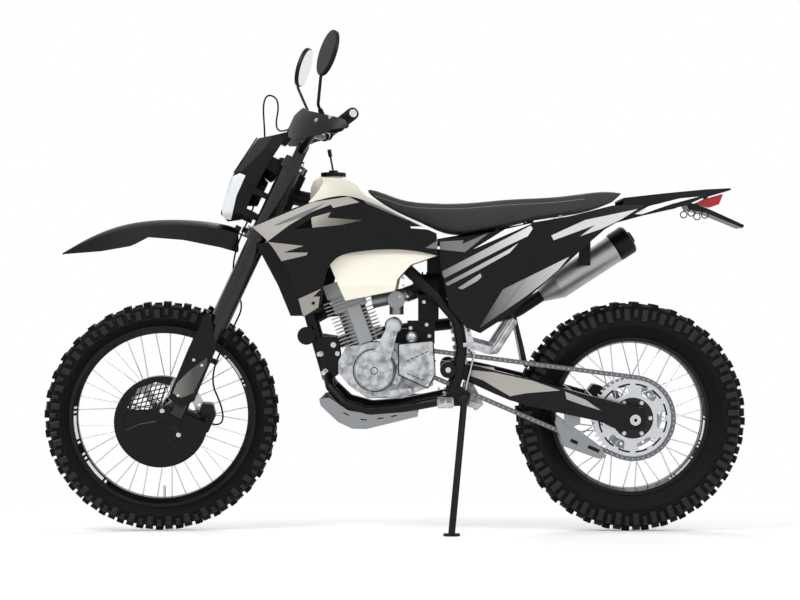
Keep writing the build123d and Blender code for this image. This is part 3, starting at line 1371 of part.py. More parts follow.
def rear_fender():
    """The tail: a tapering channel behind the seat."""
    plan = REAR_FENDER_PLAN + [(x, -y) for x, y in reversed(REAR_FENDER_PLAN)]
    outer = side_prism(REAR_FENDER_TOP + REAR_FENDER_LOW, -120, 120) & plan_prism(plan, 850, 1100)
    inner_plan = [(x - PANEL_WALL, y - PANEL_WALL) for x, y in REAR_FENDER_PLAN]
    inner_plan[0] = (600, 96)
    inner_plan = inner_plan + [(x, -y) for x, y in reversed(inner_plan)]
    room_top = [(x, z - PANEL_WALL) for x, z in REAR_FENDER_TOP]
    room_top[0] = (600, 985)
    room = side_prism(room_top + [(1003, 800), (600, 800)], -120, 120) & plan_prism(inner_plan, 700, 1100)
    return outer - room


LIGHT_SIDE = [(900, 986), (930, 1000), (985, 1016), (972, 984), (944, 974)]


def tail_light():
    """The lamp under the tail."""
    lamp = side_prism(LIGHT_SIDE, -38, 38, 3)
    post = block(934, 944, -10, 10, 990, height_on(REAR_FENDER_TOP, 934) - PANEL_WALL - SEAT_GAP)
    return joined([lamp.solid(), post])


def plate_holder():
    """The bracket that carries the number plate, left blank."""
    arm = side_prism(
        [(868, 992), (900, 984), (944, 968), (1047, 921), (1043, 912), (930, 958), (880, 968)], -42, 42,
        2,
    )
    post = block(870, 884, -20, 20, 984, height_on(REAR_FENDER_TOP, 870) - PANEL_WALL - SEAT_GAP)
    return joined([arm.solid(), post])


MUDGUARD_SIDE = [
    (352, 690), (340, 690), (352, 640), (378, 504), (392, 490), (396, 496), (382, 560), (362, 640)
]


def inner_mudguard():
    """The flap between the rear tyre and the shock absorber."""
    return side_prism(MUDGUARD_SIDE, -58, 58)


SKID_BOTTOM = [(-226, 404), (-221, 384), (-170, 336), (-128, 316), (-86, 315), (66, 352)]
SKID_TOP = [(66, 372), (20, 366), (-77, 360), (-140, 370), (-196, 408)]
SKID_WALL = 3.0
SKID_HALF = 101.0


def skid_plate():
    """A folded alloy plate under the cradles, with side wings and drain slots."""
    solid = side_prism(SKID_BOTTOM + SKID_TOP, -SKID_HALF, SKID_HALF)
    raised = [(x, z + SKID_WALL) for x, z in SKID_BOTTOM]
    raised[0] = (raised[0][0] + SKID_WALL, raised[0][1])
    top = [(x, z + 40) for x, z in SKID_TOP]
    top[0] = (120, 400)
    raised[-1] = (120, 368)
    room = side_prism(raised + top, -SKID_HALF + SKID_WALL, SKID_HALF - SKID_WALL)
    body = solid - room
    for hand in (-1, 1):
        body = body - bent_tube(cradle_points(hand), CRADLE_R + SEAT_GAP, CRADLE_BENDS)
    slots = []
    for i in range(4):
        for side in (-60, 0, 60):
            slots.append(block(-70 + 34 * i, -54 + 34 * i, side - 8, side + 8, 300, 345))
    body = body.cut(*slots)
    return max(body.solids(), key=lambda s: s.volume)


FOOTPEG_X = 148.0
FOOTPEG_Z = 400.0


def foot_peg(hand):
    """A cleated rider's peg with its hinge block."""
    low_y, high_y = sorted((hand * 127.2, hand * 134))
    base = block(FOOTPEG_X - 22, FOOTPEG_X + 22, low_y, high_y, FOOTPEG_Z - 20, FOOTPEG_Z + 12)
    low_y, high_y = sorted((hand * 134, hand * 214))
    deck = block(FOOTPEG_X - 24, FOOTPEG_X + 24, low_y, high_y, FOOTPEG_Z - 8, FOOTPEG_Z + 4)
    wells = []
    teeth = []
    for i in range(3):
        low_y, high_y = sorted((hand * (142 + 24 * i), hand * (160 + 24 * i)))
        wells.append(block(FOOTPEG_X - 19, FOOTPEG_X + 19, low_y, high_y, FOOTPEG_Z - 9, FOOTPEG_Z + 5))
    deck = deck.cut(*wells)
    for i in range(4):
        at_y = hand * (139 + 24 * i)
        for at_x in (-20, 0, 20):
            teeth.append(
                block(
                    FOOTPEG_X + at_x - 3, FOOTPEG_X + at_x + 3, at_y - 1.5, at_y + 1.5, FOOTPEG_Z + 3,
                    FOOTPEG_Z + 10,
                )
            )
    return joined([base, *deck.solids(), *teeth])


def gear_lever():
    shaft = barrel(7, -136, CASE_LEFT - SEAT_GAP, 40, 430)
    arm = side_prism([(48, 440), (48, 421), (-60, 414), (-86, 417), (-86, 431), (-60, 427)], -136, -130, 3)
    toe = barrel(8, -168, -130, -76, 424)
    return joined([shaft, arm.solid(), toe])


def brake_pedal(cradle):
    arm = side_prism([(112, 398), (112, 380), (20, 384), (-24, 396), (-24, 408), (20, 398)], 128, 134, 3)
    toe = side_prism([(-30, 404), (-30, 410), (14, 410), (14, 404)], 128, 168)
    shaft = barrel(8, 100, 134, 104, 389) - cradle
    return joined([arm.solid(), toe.solid(), max(shaft.solids(), key=lambda s: s.center().Y)])


PASSENGER_PLATE = [(206, 604), (222, 606), (232, 574), (300, 556), (300, 540), (276, 538), (212, 556)]


def passenger_peg(hand, spar):
    """The bracket behind the spar with its peg folded up."""
    reach = 134 if hand < 0 else 176
    low_y, high_y = sorted((hand * reach, hand * (reach + 5)))
    plate = side_prism(PASSENGER_PLATE, low_y, high_y, 3)
    start = (292, hand * (reach + 12), 548)
    end = (352, hand * (reach + 12), 640)
    peg = rod(start, end, 11)
    low_y, high_y = sorted((hand * (reach + 1), hand * (reach + 14)))
    knuckle = barrel(9, low_y, high_y, 290, 549)
    low_y, high_y = sorted((hand * 112, hand * (reach + 1)))
    stand_off = barrel(8, low_y, high_y, 222, 566)
    brace = block(200, 226, low_y, high_y, 560, 572)
    body = joined([plate.solid(), peg, knuckle, stand_off, brace]) - spar
    return max(body.solids(), key=lambda s: s.volume)


def instrument(upper):
    """The small dash over the upper clamp."""
    top = bar_centre_height() + 26
    box = side_prism(
        [(-112, top - 20), (-76, top + 10), (-52, top + 6), (-66, top - 34), (-100, top - 36)], -38, 38,
        4,
    )
    arm = block(-104, -FORK_OFFSET - 40, -6, 6, UPPER_CLAMP_BASE + 4, UPPER_CLAMP_BASE + 8)
    post = block(-104, -92, -6, 6, UPPER_CLAMP_BASE + 4, top - 30)
    return joined([box.solid(), arm, post]) - upper


# Side stand

def side_stand(floor):
    """Leg and foot; the foot lies flat on the ground when the machine leans."""
    lean = math.radians(PARKED_LEAN)
    up = Vector(0, math.sin(lean), math.cos(lean))
    foot_z = (floor - STAND_FOOT_Y * math.sin(lean)) / math.cos(lean)
    foot_at = Vector(STAND_FOOT_X, STAND_FOOT_Y, foot_z)
    pivot = Vector(*STAND_PIVOT)
    down = (foot_at - pivot).normalized()
    pad = Solid.make_cylinder(24, STAND_FOOT_THICKNESS, Plane(origin=tuple(foot_at), z_dir=up))
    leg = rod(tuple(pivot + down * 8), tuple(foot_at + up * 6), STAND_TUBE_R)
    eye = Solid.make_cylinder(
        15, 12, Plane(origin=tuple(pivot - stand_axis(floor) * 6), z_dir=stand_axis(floor))
    )
    body = joined([pad, leg, eye])
    return body - stand_pin(floor, STAND_PIN_R + SEAT_GAP)


STAND_PIN_R = 6.0
STAND_FOLDED = Vector(0.98, -0.15, 0.12)


def stand_axis(floor):
    """The hinge line: square to the leg both when it is out and when it is folded."""
    lean = math.radians(PARKED_LEAN)
    foot_z = (floor - STAND_FOOT_Y * math.sin(lean)) / math.cos(lean)
    down = Vector(STAND_FOOT_X, STAND_FOOT_Y, foot_z) - Vector(*STAND_PIVOT)
    return down.normalized().cross(STAND_FOLDED.normalized()).normalized()


def stand_pin(floor, radius):
    axis = stand_axis(floor)
    pivot = Vector(*STAND_PIVOT)
    return rod(tuple(pivot - axis * 20), tuple(pivot + axis * 10), radius)


def stand_bracket(floor):
    """The plate and pin on the left spar that carry the stand."""
    plate = side_prism(
        [(150, 424), (186, 444), (222, 424), (218, 390), (190, 386), (152, 386)], -126.8, -118, 4
    )
    return joined([plate.solid(), stand_pin(floor, STAND_PIN_R)])


# Standing the pieces up

def parked(shape):
    """Lean the upright machine to its left."""
    return shape.rotate(Axis.X, PARKED_LEAN)


def steered(shape):
    """Turn a front-end piece with the bars, then lean it."""
    return parked(shape.rotate(STEERING, BARS_TURNED))


front_tyre = tyre(FRONT_BEAD_R, FRONT_TYRE_R, FRONT_TYRE_HALF, FRONT_RIM_HALF)
rear_tyre = tyre(REAR_BEAD_R, REAR_TYRE_R, REAR_TYRE_HALF, REAR_RIM_HALF)
rear_low = parked(rear_wheel(rear_tyre)).bounding_box().min.Z
front_low = steered(front_wheel(front_tyre)).bounding_box().min.Z
FLOOR = min(front_low, rear_low)
print("tyre lows, front and rear:", round(front_low, 2), round(rear_low, 2))

spine = frame_spine()
spars = {hand: frame_spar(hand, spine) for hand in (-1, 1)}
spars[-1] = joined([spars[-1].solid(), stand_bracket(FLOOR)])
cradles = {hand: frame_cradle(hand, spine, spars[hand]) for hand in (-1, 1)}
spar_rooms = [spar_tube(hand, SPAR_R + 4) for hand in (-1, 1)]
rails = subframe(spine, list(spars.values()))
case = engine_case()
engine_upper = engine_top(case)
filter_box = airbox()
tank = fuel_tank(spar_rooms)

chassis = {
    "frame_spine": spine,
    "frame_spars": Compound([spars[-1].solid(), spars[1].solid()]),
    "frame_cradles": Compound([cradles[-1].solid(), cradles[1].solid()]),
    "subframe": rails,
    "swingarm": swingarm(),
    "swingarm_bolts": Compound([pivot_bolt(), rear_axle().solid()]),
    "shock_absorber": shock(),
    "suspension_linkage": linkage(),
    "engine_case": case,
    "engine_top": engine_upper,
    "carburettor": carburettor(engine_upper, filter_box),
    "air_box": filter_box,
    "exhaust_header": exhaust_header(engine_upper),
    "muffler": muffler(),
    "fuel_tank": tank,
    "tank_cap": tank_cap(),
    "seat": seat(),
    "shrouds": Compound([shroud(-1, tank).solid(), shroud(1, tank).solid()]),
    "side_panels": Compound([
        side_panel(-1, LEFT_PANEL, rails).solid(),
        side_panel(1, RIGHT_PANEL, rails).solid(),
    ]),
    "rear_fender": rear_fender(),
    "inner_mudguard": inner_mudguard(),
    "tail_light": tail_light(),
    "plate_holder": plate_holder(),
    "skid_plate": skid_plate(),
    "foot_pegs": Compound([foot_peg(-1).solid(), foot_peg(1).solid()]),
    "passenger_pegs": Compound([passenger_peg(-1, spars[-1]), passenger_peg(1, spars[1])]),
    "foot_levers": Compound([gear_lever().solid(), brake_pedal(cradles[1]).solid()]),
    "chain": chain(),
    "horn": horn(spine),
    "chain_guide": chain_guide(),
    "rear_caliper": rear_caliper(),
}
upper = upper_clamp()
fork_pieces = {
    "triple_clamps": Compound([lower_clamp().solid(), upper.solid()]),
    "fork_uppers": Compound([fork_upper(-1), fork_upper(1)]),
    "fork_lowers": Compound([fork_lower(-1).solid(), fork_lower(1).solid()]),
    "fork_guards": Compound([fork_guard(-1).solid(), fork_guard(1).solid()]),
    "front_axle": front_axle(),
    "disc_cover": disc_cover(),
    "front_caliper": front_caliper(),
    "brake_hose": brake_hose(),
    "handlebar": handlebar(),
    "grips": Compound([grip(-1).solid(), grip(1).solid()]),
    "mirrors": Compound([mirror_set(-1).solid(), mirror_set(1).solid()]),
    "hand_guards": Compound([hand_guard(-1).solid(), hand_guard(1).solid()]),
    "instrument": instrument(upper),
}
steering = {name: FORK * shape for name, shape in fork_pieces.items()}
steering.update({
    "front_fender": front_fender(),
    "headlight_mask": headlight_mask(),
    "headlight": headlight_lens(),
    "windscreen": windscreen(),
})
front_wheel_pieces = {
    "front_tyre": front_tyre,
    "front_rim": rim(FRONT_BEAD_R, FRONT_RIM_HALF, FRONT_RIM_WELL),
    "front_hub": laced_hub(
        FRONT_HUB_R, FRONT_FLANGE_R, FRONT_AXLE_R + SHAFT_CLEARANCE, FRONT_RIM_INNER,
        FRONT_RIM_HALF * 0.45,
    ),
    "front_disc": brake_disc(FRONT_DISC_R, FRONT_DISC_Y, -HUB_HALF, FRONT_AXLE_R + 6),
}
rear_wheel_pieces = {
    "rear_tyre": rear_tyre,
    "rear_rim": rim(REAR_BEAD_R, REAR_RIM_HALF, REAR_RIM_WELL),
    "rear_hub": laced_hub(
        REAR_HUB_R, REAR_FLANGE_R, REAR_AXLE_R + SHAFT_CLEARANCE, REAR_RIM_INNER, REAR_RIM_HALF * 0.45
    ),
    "rear_disc": brake_disc(REAR_DISC_R, REAR_DISC_Y, HUB_HALF, REAR_AXLE_R + 6),
    "rear_sprocket": rear_sprocket(REAR_AXLE_R + 6),
}

upright = {"side_stand": side_stand(FLOOR), **chassis}
placed = {name: parked(shape) for name, shape in upright.items()}
for name, shape in rear_wheel_pieces.items():
    placed[name] = parked(rear_wheel(shape))
for name, shape in steering.items():
    placed[name] = steered(shape)
for name, shape in front_wheel_pieces.items():
    placed[name] = steered(front_wheel(shape))

boxes = [shape.bounding_box() for shape in placed.values()]
middle_x = (min(b.min.X for b in boxes) + max(b.max.X for b in boxes)) / 2
middle_y = (min(b.min.Y for b in boxes) + max(b.max.Y for b in boxes)) / 2
shift = Pos(-middle_x, -middle_y, -FLOOR)
print("shift to the ground point:", round(-middle_x, 4), round(-middle_y, 4), round(-FLOOR, 4))

os.makedirs("parts", exist_ok=True)
for name, shape in placed.items():
    export_step(shift * shape, f"parts/{name}.step")
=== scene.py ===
import json
import math

import bmesh
import bpy
from mathutils import Matrix, Vector
from mathutils.bvhtree import BVHTree
from mathutils.geometry import tessellate_polygon


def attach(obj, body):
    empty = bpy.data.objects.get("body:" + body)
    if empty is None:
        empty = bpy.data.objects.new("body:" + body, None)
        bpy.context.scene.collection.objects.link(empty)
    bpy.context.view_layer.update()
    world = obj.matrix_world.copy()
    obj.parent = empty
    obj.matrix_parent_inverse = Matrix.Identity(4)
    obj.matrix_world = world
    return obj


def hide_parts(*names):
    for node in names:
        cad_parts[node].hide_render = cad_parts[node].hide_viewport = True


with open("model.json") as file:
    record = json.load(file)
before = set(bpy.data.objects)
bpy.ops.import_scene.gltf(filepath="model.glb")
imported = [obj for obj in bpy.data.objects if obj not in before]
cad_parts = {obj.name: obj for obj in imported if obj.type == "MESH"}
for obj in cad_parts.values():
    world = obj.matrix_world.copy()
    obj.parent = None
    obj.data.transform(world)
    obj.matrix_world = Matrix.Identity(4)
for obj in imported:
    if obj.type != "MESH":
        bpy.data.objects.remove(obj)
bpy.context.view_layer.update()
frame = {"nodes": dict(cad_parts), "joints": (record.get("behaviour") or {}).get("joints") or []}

# Stance and camera.
# The machine was measured upright, in millimetres, with x to the rear and y to its right, and it
# stands leaning 8 degrees on its side stand. The rear axle's joint says where that frame now lies.
LEAN = math.radians(8.0)
RAKE = math.radians(25.0)
BARS_TURNED = math.radians(9.0)
REAR_AXLE = Vector((706.0, 0.0, 345.0))
FRONT_AXLE = Vector((-706.0, 0.0, 345.0))
AXLE_OFFSET = 55.3
rear_joint = next(j for j in frame["joints"] if j["name"] == "rear_wheel_spin")
lean_turn = Matrix.Rotation(LEAN, 4, "X")
ground_shift = Vector(rear_joint["pos_m"]) * 1000 - lean_turn @ REAR_AXLE
MACHINE = Matrix.Scale(0.001, 4) @ Matrix.Translation(ground_shift) @ lean_turn

# The fork's own frame: x square to the legs and rearward, z up along the steering axis.
steering_axis = Vector((math.sin(RAKE), 0.0, math.cos(RAKE)))
fork_rearward = Vector((math.cos(RAKE), 0.0, -math.sin(RAKE)))
head_at = FRONT_AXLE + fork_rearward * AXLE_OFFSET
bars_turn = (
    Matrix.Translation(head_at) @ Matrix.Rotation(BARS_TURNED, 4, steering_axis)
    @ Matrix.Translation(-head_at)
)
fork_axes = Matrix((fork_rearward, Vector((0.0, 1.0, 0.0)), steering_axis)).transposed().to_4x4()
STEERED = MACHINE @ bars_turn
FORK = STEERED @ Matrix.Translation(head_at) @ fork_axes

# The camera stands 3.8 m to the left of the machine and leans with it, so the picture is upright.
# Its lens and shifts frame the machine as the photo does.
CAMERA_PLACE = Vector((132.0, -3800.0, 777.0))
camera_data = bpy.data.cameras.new("camera")
camera_data.lens = 56.25
camera_data.sensor_width = 36.0
camera_data.shift_x = -0.05
camera_data.shift_y = -0.03375
camera_data.clip_end = 60.0
camera = bpy.data.objects.new("camera", camera_data)
upright = Matrix.Rotation(math.radians(90), 4, "X")
camera.matrix_world = Matrix.Translation(MACHINE @ CAMERA_PLACE) @ lean_turn @ upright
bpy.context.scene.collection.objects.link(camera)
bpy.context.scene.camera = camera
bpy.context.scene.view_settings.view_transform = "Standard"

# Studio: a pale floor, a white backdrop and large soft lamps, as for a catalogue cut-out.
# The world is white to the camera and in reflections, and lights the machine at a plain level.
# Away from the machine the floor's paint gives way to plain white, so that no horizon shows.
PAINT_UNTIL, WHITE_FROM = 1.3, 2.6
LAMPS = (
    ("key", (-1.9, -2.6, 3.6), 2.2, 105),
    ("fill", (2.6, -2.8, 2.4), 2.2, 45),
    ("back", (0.4, 3.0, 3.0), 2.4, 60),
)
LAMPS_AIM = Vector((0.0, 0.1, 0.5))


def linear(hex_colour):
    """An sRGB hex colour as linear RGBA."""
    channels = [int(hex_colour[i:i + 2], 16) / 255 for i in (1, 3, 5)]
    return [c / 12.92 if c <= 0.04045 else ((c + 0.055) / 1.055) ** 2.4 for c in channels] + [1.0]


def add(tree, kind, inputs=(), **settings):
    """Adds a node: settings are its properties, inputs are (socket, value or output to link)."""
    made = tree.nodes.new(kind)
    for name, value in settings.items():
        setattr(made, name, value)
    for name, value in dict(inputs).items():
        if isinstance(value, bpy.types.NodeSocket):
            tree.links.new(value, made.inputs[name])
        else:
            made.inputs[name].default_value = value
    return made


def shader_of(finish):
    """The surface shader of a material."""
    return finish.node_tree.nodes["Principled BSDF"]


def material(name, colour, roughness, metallic=0.0, specular=0.5):
    """A new material with the plain values of its shader set."""
    made = bpy.data.materials.new(name)
    made.use_nodes = True
    sockets = shader_of(made).inputs
    sockets["Base Color"].default_value = linear(colour)
    sockets["Roughness"].default_value = roughness
    sockets["Metallic"].default_value = metallic
    sockets["Specular IOR Level"].default_value = specular
    return made


world = bpy.data.worlds.new("studio")
world.use_nodes = True
bpy.context.scene.world = world
tree = world.node_tree
tree.nodes.clear()
path = add(tree, "ShaderNodeLightPath")
seen = add(tree, "ShaderNodeMath", {0: path.outputs["Is Camera Ray"], 1: path.outputs["Is Glossy Ray"]},
           operation="MAXIMUM")
seen = add(tree, "ShaderNodeMath", {0: seen.outputs[0], 1: path.outputs["Is Transmission Ray"]},
           operation="MAXIMUM")
lighting = add(tree, "ShaderNodeBackground", {"Color": linear("#F4F6F8"), "Strength": 0.42})
white = add(tree, "ShaderNodeBackground", {"Color": linear("#FFFFFF"), "Strength": 1.0})
both = add(tree, "ShaderNodeMixShader", {0: seen.outputs[0], 1: lighting.outputs[0], 2: white.outputs[0]})
add(tree, "ShaderNodeOutputWorld", {"Surface": both.outputs[0]})

floor_mesh = bmesh.new()
bmesh.ops.create_grid(floor_mesh, x_segments=1, y_segments=1, size=30.0)
floor_data = bpy.data.meshes.new("floor")
floor_mesh.to_mesh(floor_data)
floor_mesh.free()
studio_floor = bpy.data.objects.new("floor", floor_data)
bpy.context.scene.collection.objects.link(studio_floor)

paint = material("Studio floor, matt white paint", "#F4F4F4", 0.9)
tree = paint.node_tree
shader = shader_of(paint)
shader.inputs["Emission Color"].default_value = linear("#FFFFFF")
shader.inputs["Emission Strength"].default_value = 0.25
where = add(tree, "ShaderNodeTexCoord")
reach = add(tree, "ShaderNodeVectorMath", {0: where.outputs["Object"]}, operation="LENGTH")
fade = add(tree, "ShaderNodeMapRange", {"Value": reach.outputs["Value"], "From Min": PAINT_UNTIL,
                                        "From Max": WHITE_FROM})
glow = add(tree, "ShaderNodeEmission", {"Color": linear("#FFFFFF"), "Strength": 1.0})
mix = add(tree, "ShaderNodeMixShader", {0: fade.outputs[0], 1: shader.outputs[0], 2: glow.outputs[0]})
tree.links.new(mix.outputs[0], tree.nodes["Material Output"].inputs["Surface"])
floor_data.materials.append(paint)

for name, at, size, power in LAMPS:
    lamp_data = bpy.data.lights.new(name, "AREA")
    lamp_data.size = size
    lamp_data.energy = power
    lamp = bpy.data.objects.new(name, lamp_data)
    bpy.context.scene.collection.objects.link(lamp)
    aim = (LAMPS_AIM - Vector(at)).to_track_quat("-Z", "Y").to_matrix().to_4x4()
    lamp.matrix_world = Matrix.Translation(at) @ aim


# Frame: welded steel tubes and forged brackets, powder coated satin black.
# The coat is even, with the slight orange peel that baked powder keeps.


def roughen(finish, grain_mm, depth_mm):
    """Gives a surface an even grain, drawn coarser than the real one so that the picture shows it."""
    tree = finish.node_tree
    where = add(tree, "ShaderNodeTexCoord")
    noise = add(tree, "ShaderNodeTexNoise", {"Vector": where.outputs["Object"], "Scale": 1000.0 / grain_mm,
                                             "Detail": 2.0})
    bump = add(tree, "ShaderNodeBump", {"Height": noise.outputs[0], "Strength": 0.5,
                                        "Distance": depth_mm / 1000})
    tree.links.new(bump.outputs[0], shader_of(finish).inputs["Normal"])


def dress(node, *finishes):
    """Gives a CAD node its materials."""
    slots = frame["nodes"][node].data.materials
    slots.clear()
    for finish in finishes:
        slots.append(finish)


powder_coat = material("Steel, powder coated satin black", "#08090A", 0.36, specular=0.2)
roughen(powder_coat, 2.5, 0.05)
for name in ("frame_spine", "frame_spars", "frame_cradles", "subframe", "side_stand"):
    dress(name, powder_coat)

# Engine: an air-cooled single, sand cast and bead blasted alloy with machined covers.
# The cases are bright, the finned barrel a little darker. Every cover is held by flanged bolts.
CRANK_COVER = (-62.0, 489.0)
CLUTCH_COVER = (18.0, 492.0)
SPROCKET_COVER = (67.0, 512.0)
STARTER = (-6.0, 620.0)
COVER_FACE = -125.0
SCREW, BOLT, PLATE_BOLT = 4.0, 4.5, 6.0
LEFT, RIGHT = (0, -1, 0), (0, 1, 0)


def add_rod(made, start, end, radius, sides=16, tip=None):
    """Adds a capped rod, or a taper to the tip radius, to a bmesh."""
    start, end = Vector(start), Vector(end)
    turn = (end - start).to_track_quat("Z", "Y").to_matrix().to_4x4()
    bmesh.ops.create_cone(
        made, cap_ends=True, segments=sides, radius1=radius, radius2=radius if tip is None else tip,
        depth=(end - start).length, matrix=Matrix.Translation((start + end) / 2) @ turn,
    )


def add_bolt(made, at, outward, radius):
    """Adds a flanged hexagon bolt head that stands on a face."""
    at, outward = Vector(at), Vector(outward).normalized()
    add_rod(made, at - outward, at + outward * radius * 0.35, radius * 1.4)
    add_rod(made, at + outward * radius * 0.3, at + outward * radius * 1.1, radius, 6)


def add_box(made, low, high):
    """Adds a box between two corners to a bmesh."""
    low, high = Vector(low), Vector(high)
    size = Matrix.Diagonal((*(high - low), 1.0))
    bmesh.ops.create_cube(made, size=1.0, matrix=Matrix.Translation((low + high) / 2) @ size)


def piece(name, made, place, body, finish, smooth=False):
    """Places a bmesh drawn in millimetres and makes it a piece that rides with a body."""
    bmesh.ops.transform(made, matrix=place, verts=made.verts)
    data = bpy.data.meshes.new(name)
    made.to_mesh(data)
    made.free()
    for face in data.polygons:
        face.use_smooth = smooth
    data.materials.append(finish)
    obj = bpy.data.objects.new(name, data)
    bpy.context.scene.collection.objects.link(obj)
    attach(obj, body)
    return obj


def around(centre, radius, degrees, y):
    """The point at this angle on a circle about a centre x and z, at this y."""
    angle = math.radians(degrees)
    return Vector((centre[0] + radius * math.cos(angle), y, centre[1] + radius * math.sin(angle)))


def add_ring(made, centre, radius, y, wire, steps, sides):
    """Adds a ring of short rods, as a joint line or a loop of wire."""
    turn = 360 / steps
    for i in range(steps):
        start, end = around(centre, radius, turn * i, y), around(centre, radius, turn * (i + 1), y)
        add_rod(made, start, end, wire, sides)


# Blasting leaves the castings dull and mottled, in patches about two centimetres across.
MOTTLE_MM = 22.22
cast_alloy = material("Aluminium, sand cast and blasted", "#B4B6B8", 0.42, 1.0)
roughen(cast_alloy, 1.1, 0.06)
tree = cast_alloy.node_tree
where = add(tree, "ShaderNodeTexCoord")
patches = add(tree, "ShaderNodeTexNoise", {"Vector": where.outputs["Object"], "Scale": 1000.0 / MOTTLE_MM,
                                           "Detail": 3.0})
ramp = add(tree, "ShaderNodeValToRGB", {"Fac": patches.outputs[0]})
ramp.color_ramp.elements[0].position = 0.3
ramp.color_ramp.elements[0].color = linear("#7E8083")
ramp.color_ramp.elements[1].position = 0.62
ramp.color_ramp.elements[1].color = linear("#C6C8CA")
tree.links.new(ramp.outputs["Color"], shader_of(cast_alloy).inputs["Base Color"])
for name in ("engine_case", "suspension_linkage", "foot_levers", "passenger_pegs", "foot_pegs"):
    dress(name, cast_alloy)

# Left as cast, the barrel and the carburettor are a shade darker and more even.
dark_alloy = material("Aluminium, die cast, left as cast", "#9A9C9E", 0.45, 1.0)
roughen(dark_alloy, 1.6, 0.09)
for name in ("engine_top", "carburettor"):
    dress(name, dark_alloy)

# Zinc plating is bright and smooth. The slots get painted shade, flat black, so that they read as deep.
zinc = material("Steel, zinc plated bolt", "#C4C6C8", 0.28, 1.0)
slot_shade = material("Painted shade in slots, windows and joint lines", "#0A0A0B", 0.7, specular=0.2)

cover_bolts = bmesh.new()
for i in range(7):
    add_bolt(cover_bolts, around(CRANK_COVER, 71.0, 20 + 360 / 7 * i, -84.0), LEFT, SCREW)
for x, z in ((20, 486), (20, 556), (104, 566), (108, 482), (94, 448)):
    add_bolt(cover_bolts, (x, COVER_FACE - 1.0, z), LEFT, SCREW)
for x, z in ((-158, 500), (-130, 446), (-20, 412), (60, 430), (-30, 562)):
    add_bolt(cover_bolts, (x, -60.0, z), LEFT, BOLT)
for i in range(8):
    add_bolt(cover_bolts, around(CLUTCH_COVER, 70.0, 45 * i, 104.0), RIGHT, SCREW)
for x, z in ((-228, 533), (-190, 560), (-214, 480)):
    add_bolt(cover_bolts, (x, -25.3, z), LEFT, PLATE_BOLT)
    add_bolt(cover_bolts, (x, 25.3, z), RIGHT, PLATE_BOLT)
piece("cover_bolts", cover_bolts, MACHINE, "chassis", zinc)

# Starter cap: a turned alloy cup with a bevelled rim, pressed into the case behind the starter.
# It stands just above the sprocket cover.
starter_cap = bmesh.new()
add_rod(starter_cap, (48, -62, 586), (48, -96, 586), 17.0, 32)
add_rod(starter_cap, (48, -96, 586), (48, -100, 586), 15.0, 32, 12.0)
piece("starter_cap", starter_cap, MACHINE, "chassis", cast_alloy, True)

# Sprocket cover: cast with a border that stands up from it, and milled with two rows of slots.
# The border is one straight bar to a side, drawn as the hull of its corners.
BORDER = ((14, 564), (108, 573), (114, 478), (94, 443), (14, 481))
border = bmesh.new()
for start, end in zip(BORDER, BORDER[1:] + BORDER[:1]):
    corners = []
    for x, z in (start, end):
        for share in (1.0, 0.84):
            for y in (COVER_FACE, COVER_FACE - 3.5):
                at = (SPROCKET_COVER[0] + (x - SPROCKET_COVER[0]) * share, y,
                      SPROCKET_COVER[1] + (z - SPROCKET_COVER[1]) * share)
                corners.append(border.verts.new(at))
    bmesh.ops.convex_hull(border, input=corners)
piece("cover_border", border, MACHINE, "chassis", cast_alloy)

# Painted shade: the slots of the sprocket cover, four slots along each side of the skid plate, and the
# joint lines round the foot of each cover are flat black rods that stand in for the shadow in these
# grooves.
JOINT_LINE = ((10, 568), (112, 578), (118, 477), (96, 438), (10, 477))
slots = bmesh.new()
for start, end, count in (((30, 516), (100, 548), 5), ((34, 482), (88, 460), 4)):
    start = Vector((start[0], COVER_FACE - 0.6, start[1]))
    end = Vector((end[0], COVER_FACE - 0.6, end[1]))
    for i in range(count):
        add_rod(slots, start.lerp(end, (i + 0.12) / count), start.lerp(end, (i + 0.88) / count), 1.4, 8)
for x, z, tilt in ((-146, 360, -28), (-94, 343, -6), (-44, 347, 8), (-4, 354, 12)):
    for y in (-99.6, 99.6):
        add_rod(slots, around((x, z), -9, tilt, y), around((x, z), 9, tilt, y), 2.4, 8)
FOOT_RINGS = ((CRANK_COVER, 62.5, -103.0), (CRANK_COVER, 10.0, -118.2), (STARTER, 25.0, -101.0))
for centre, radius, y in FOOT_RINGS:
    add_ring(slots, centre, radius, y, 1.3, 40, 6)
for start, end in zip(JOINT_LINE, JOINT_LINE[1:] + JOINT_LINE[:1]):
    add_rod(slots, (start[0], COVER_FACE + 1.0, start[1]), (end[0], COVER_FACE + 1.0, end[1]), 1.6, 8)
piece("dark_slots", slots, MACHINE, "chassis", slot_shade)

# Intake: a moulded rubber boot with three clamp ribs, from the carburettor to the air box.
# Below it sit the starter relay and the tray that holds it, moulded in the same dull black.
boot_rubber = material("Rubber, moulded boots and tray", "#0B0B0C", 0.5, specular=0.2)
boots = bmesh.new()
add_rod(boots, (50, 0, 742), (128, 0, 738), 30.0, 32, 37.0)
for x in (62, 76, 90):
    add_rod(boots, (x, 0, 742), (x + 5, 0, 742), 38.0, 32)
add_box(boots, (34, -52, 566), (116, -20, 634))
add_box(boots, (66, -44, 634), (128, 44, 712))
add_box(boots, (-10, -40, 566), (34, -24, 610))
piece("boots_and_tray", boots, MACHINE, "chassis", boot_rubber)

# Engine fasteners: zinc plated screws in the tray and the relay, and smaller ones in the side and
# the float bowl of the carburettor.
fasteners = bmesh.new()
for x, z in ((44, 612), (92, 622), (58, 580), (100, 588), (84, 690)):
    add_bolt(fasteners, (x, -52, z), LEFT, SCREW)
for at in ((22, -62, 762), (22, -62, 740), (10, -30, 706), (34, -30, 706)):
    add_bolt(fasteners, at, LEFT, 3.0)
piece("engine_fasteners", fasteners, MACHINE, "chassis", zinc)

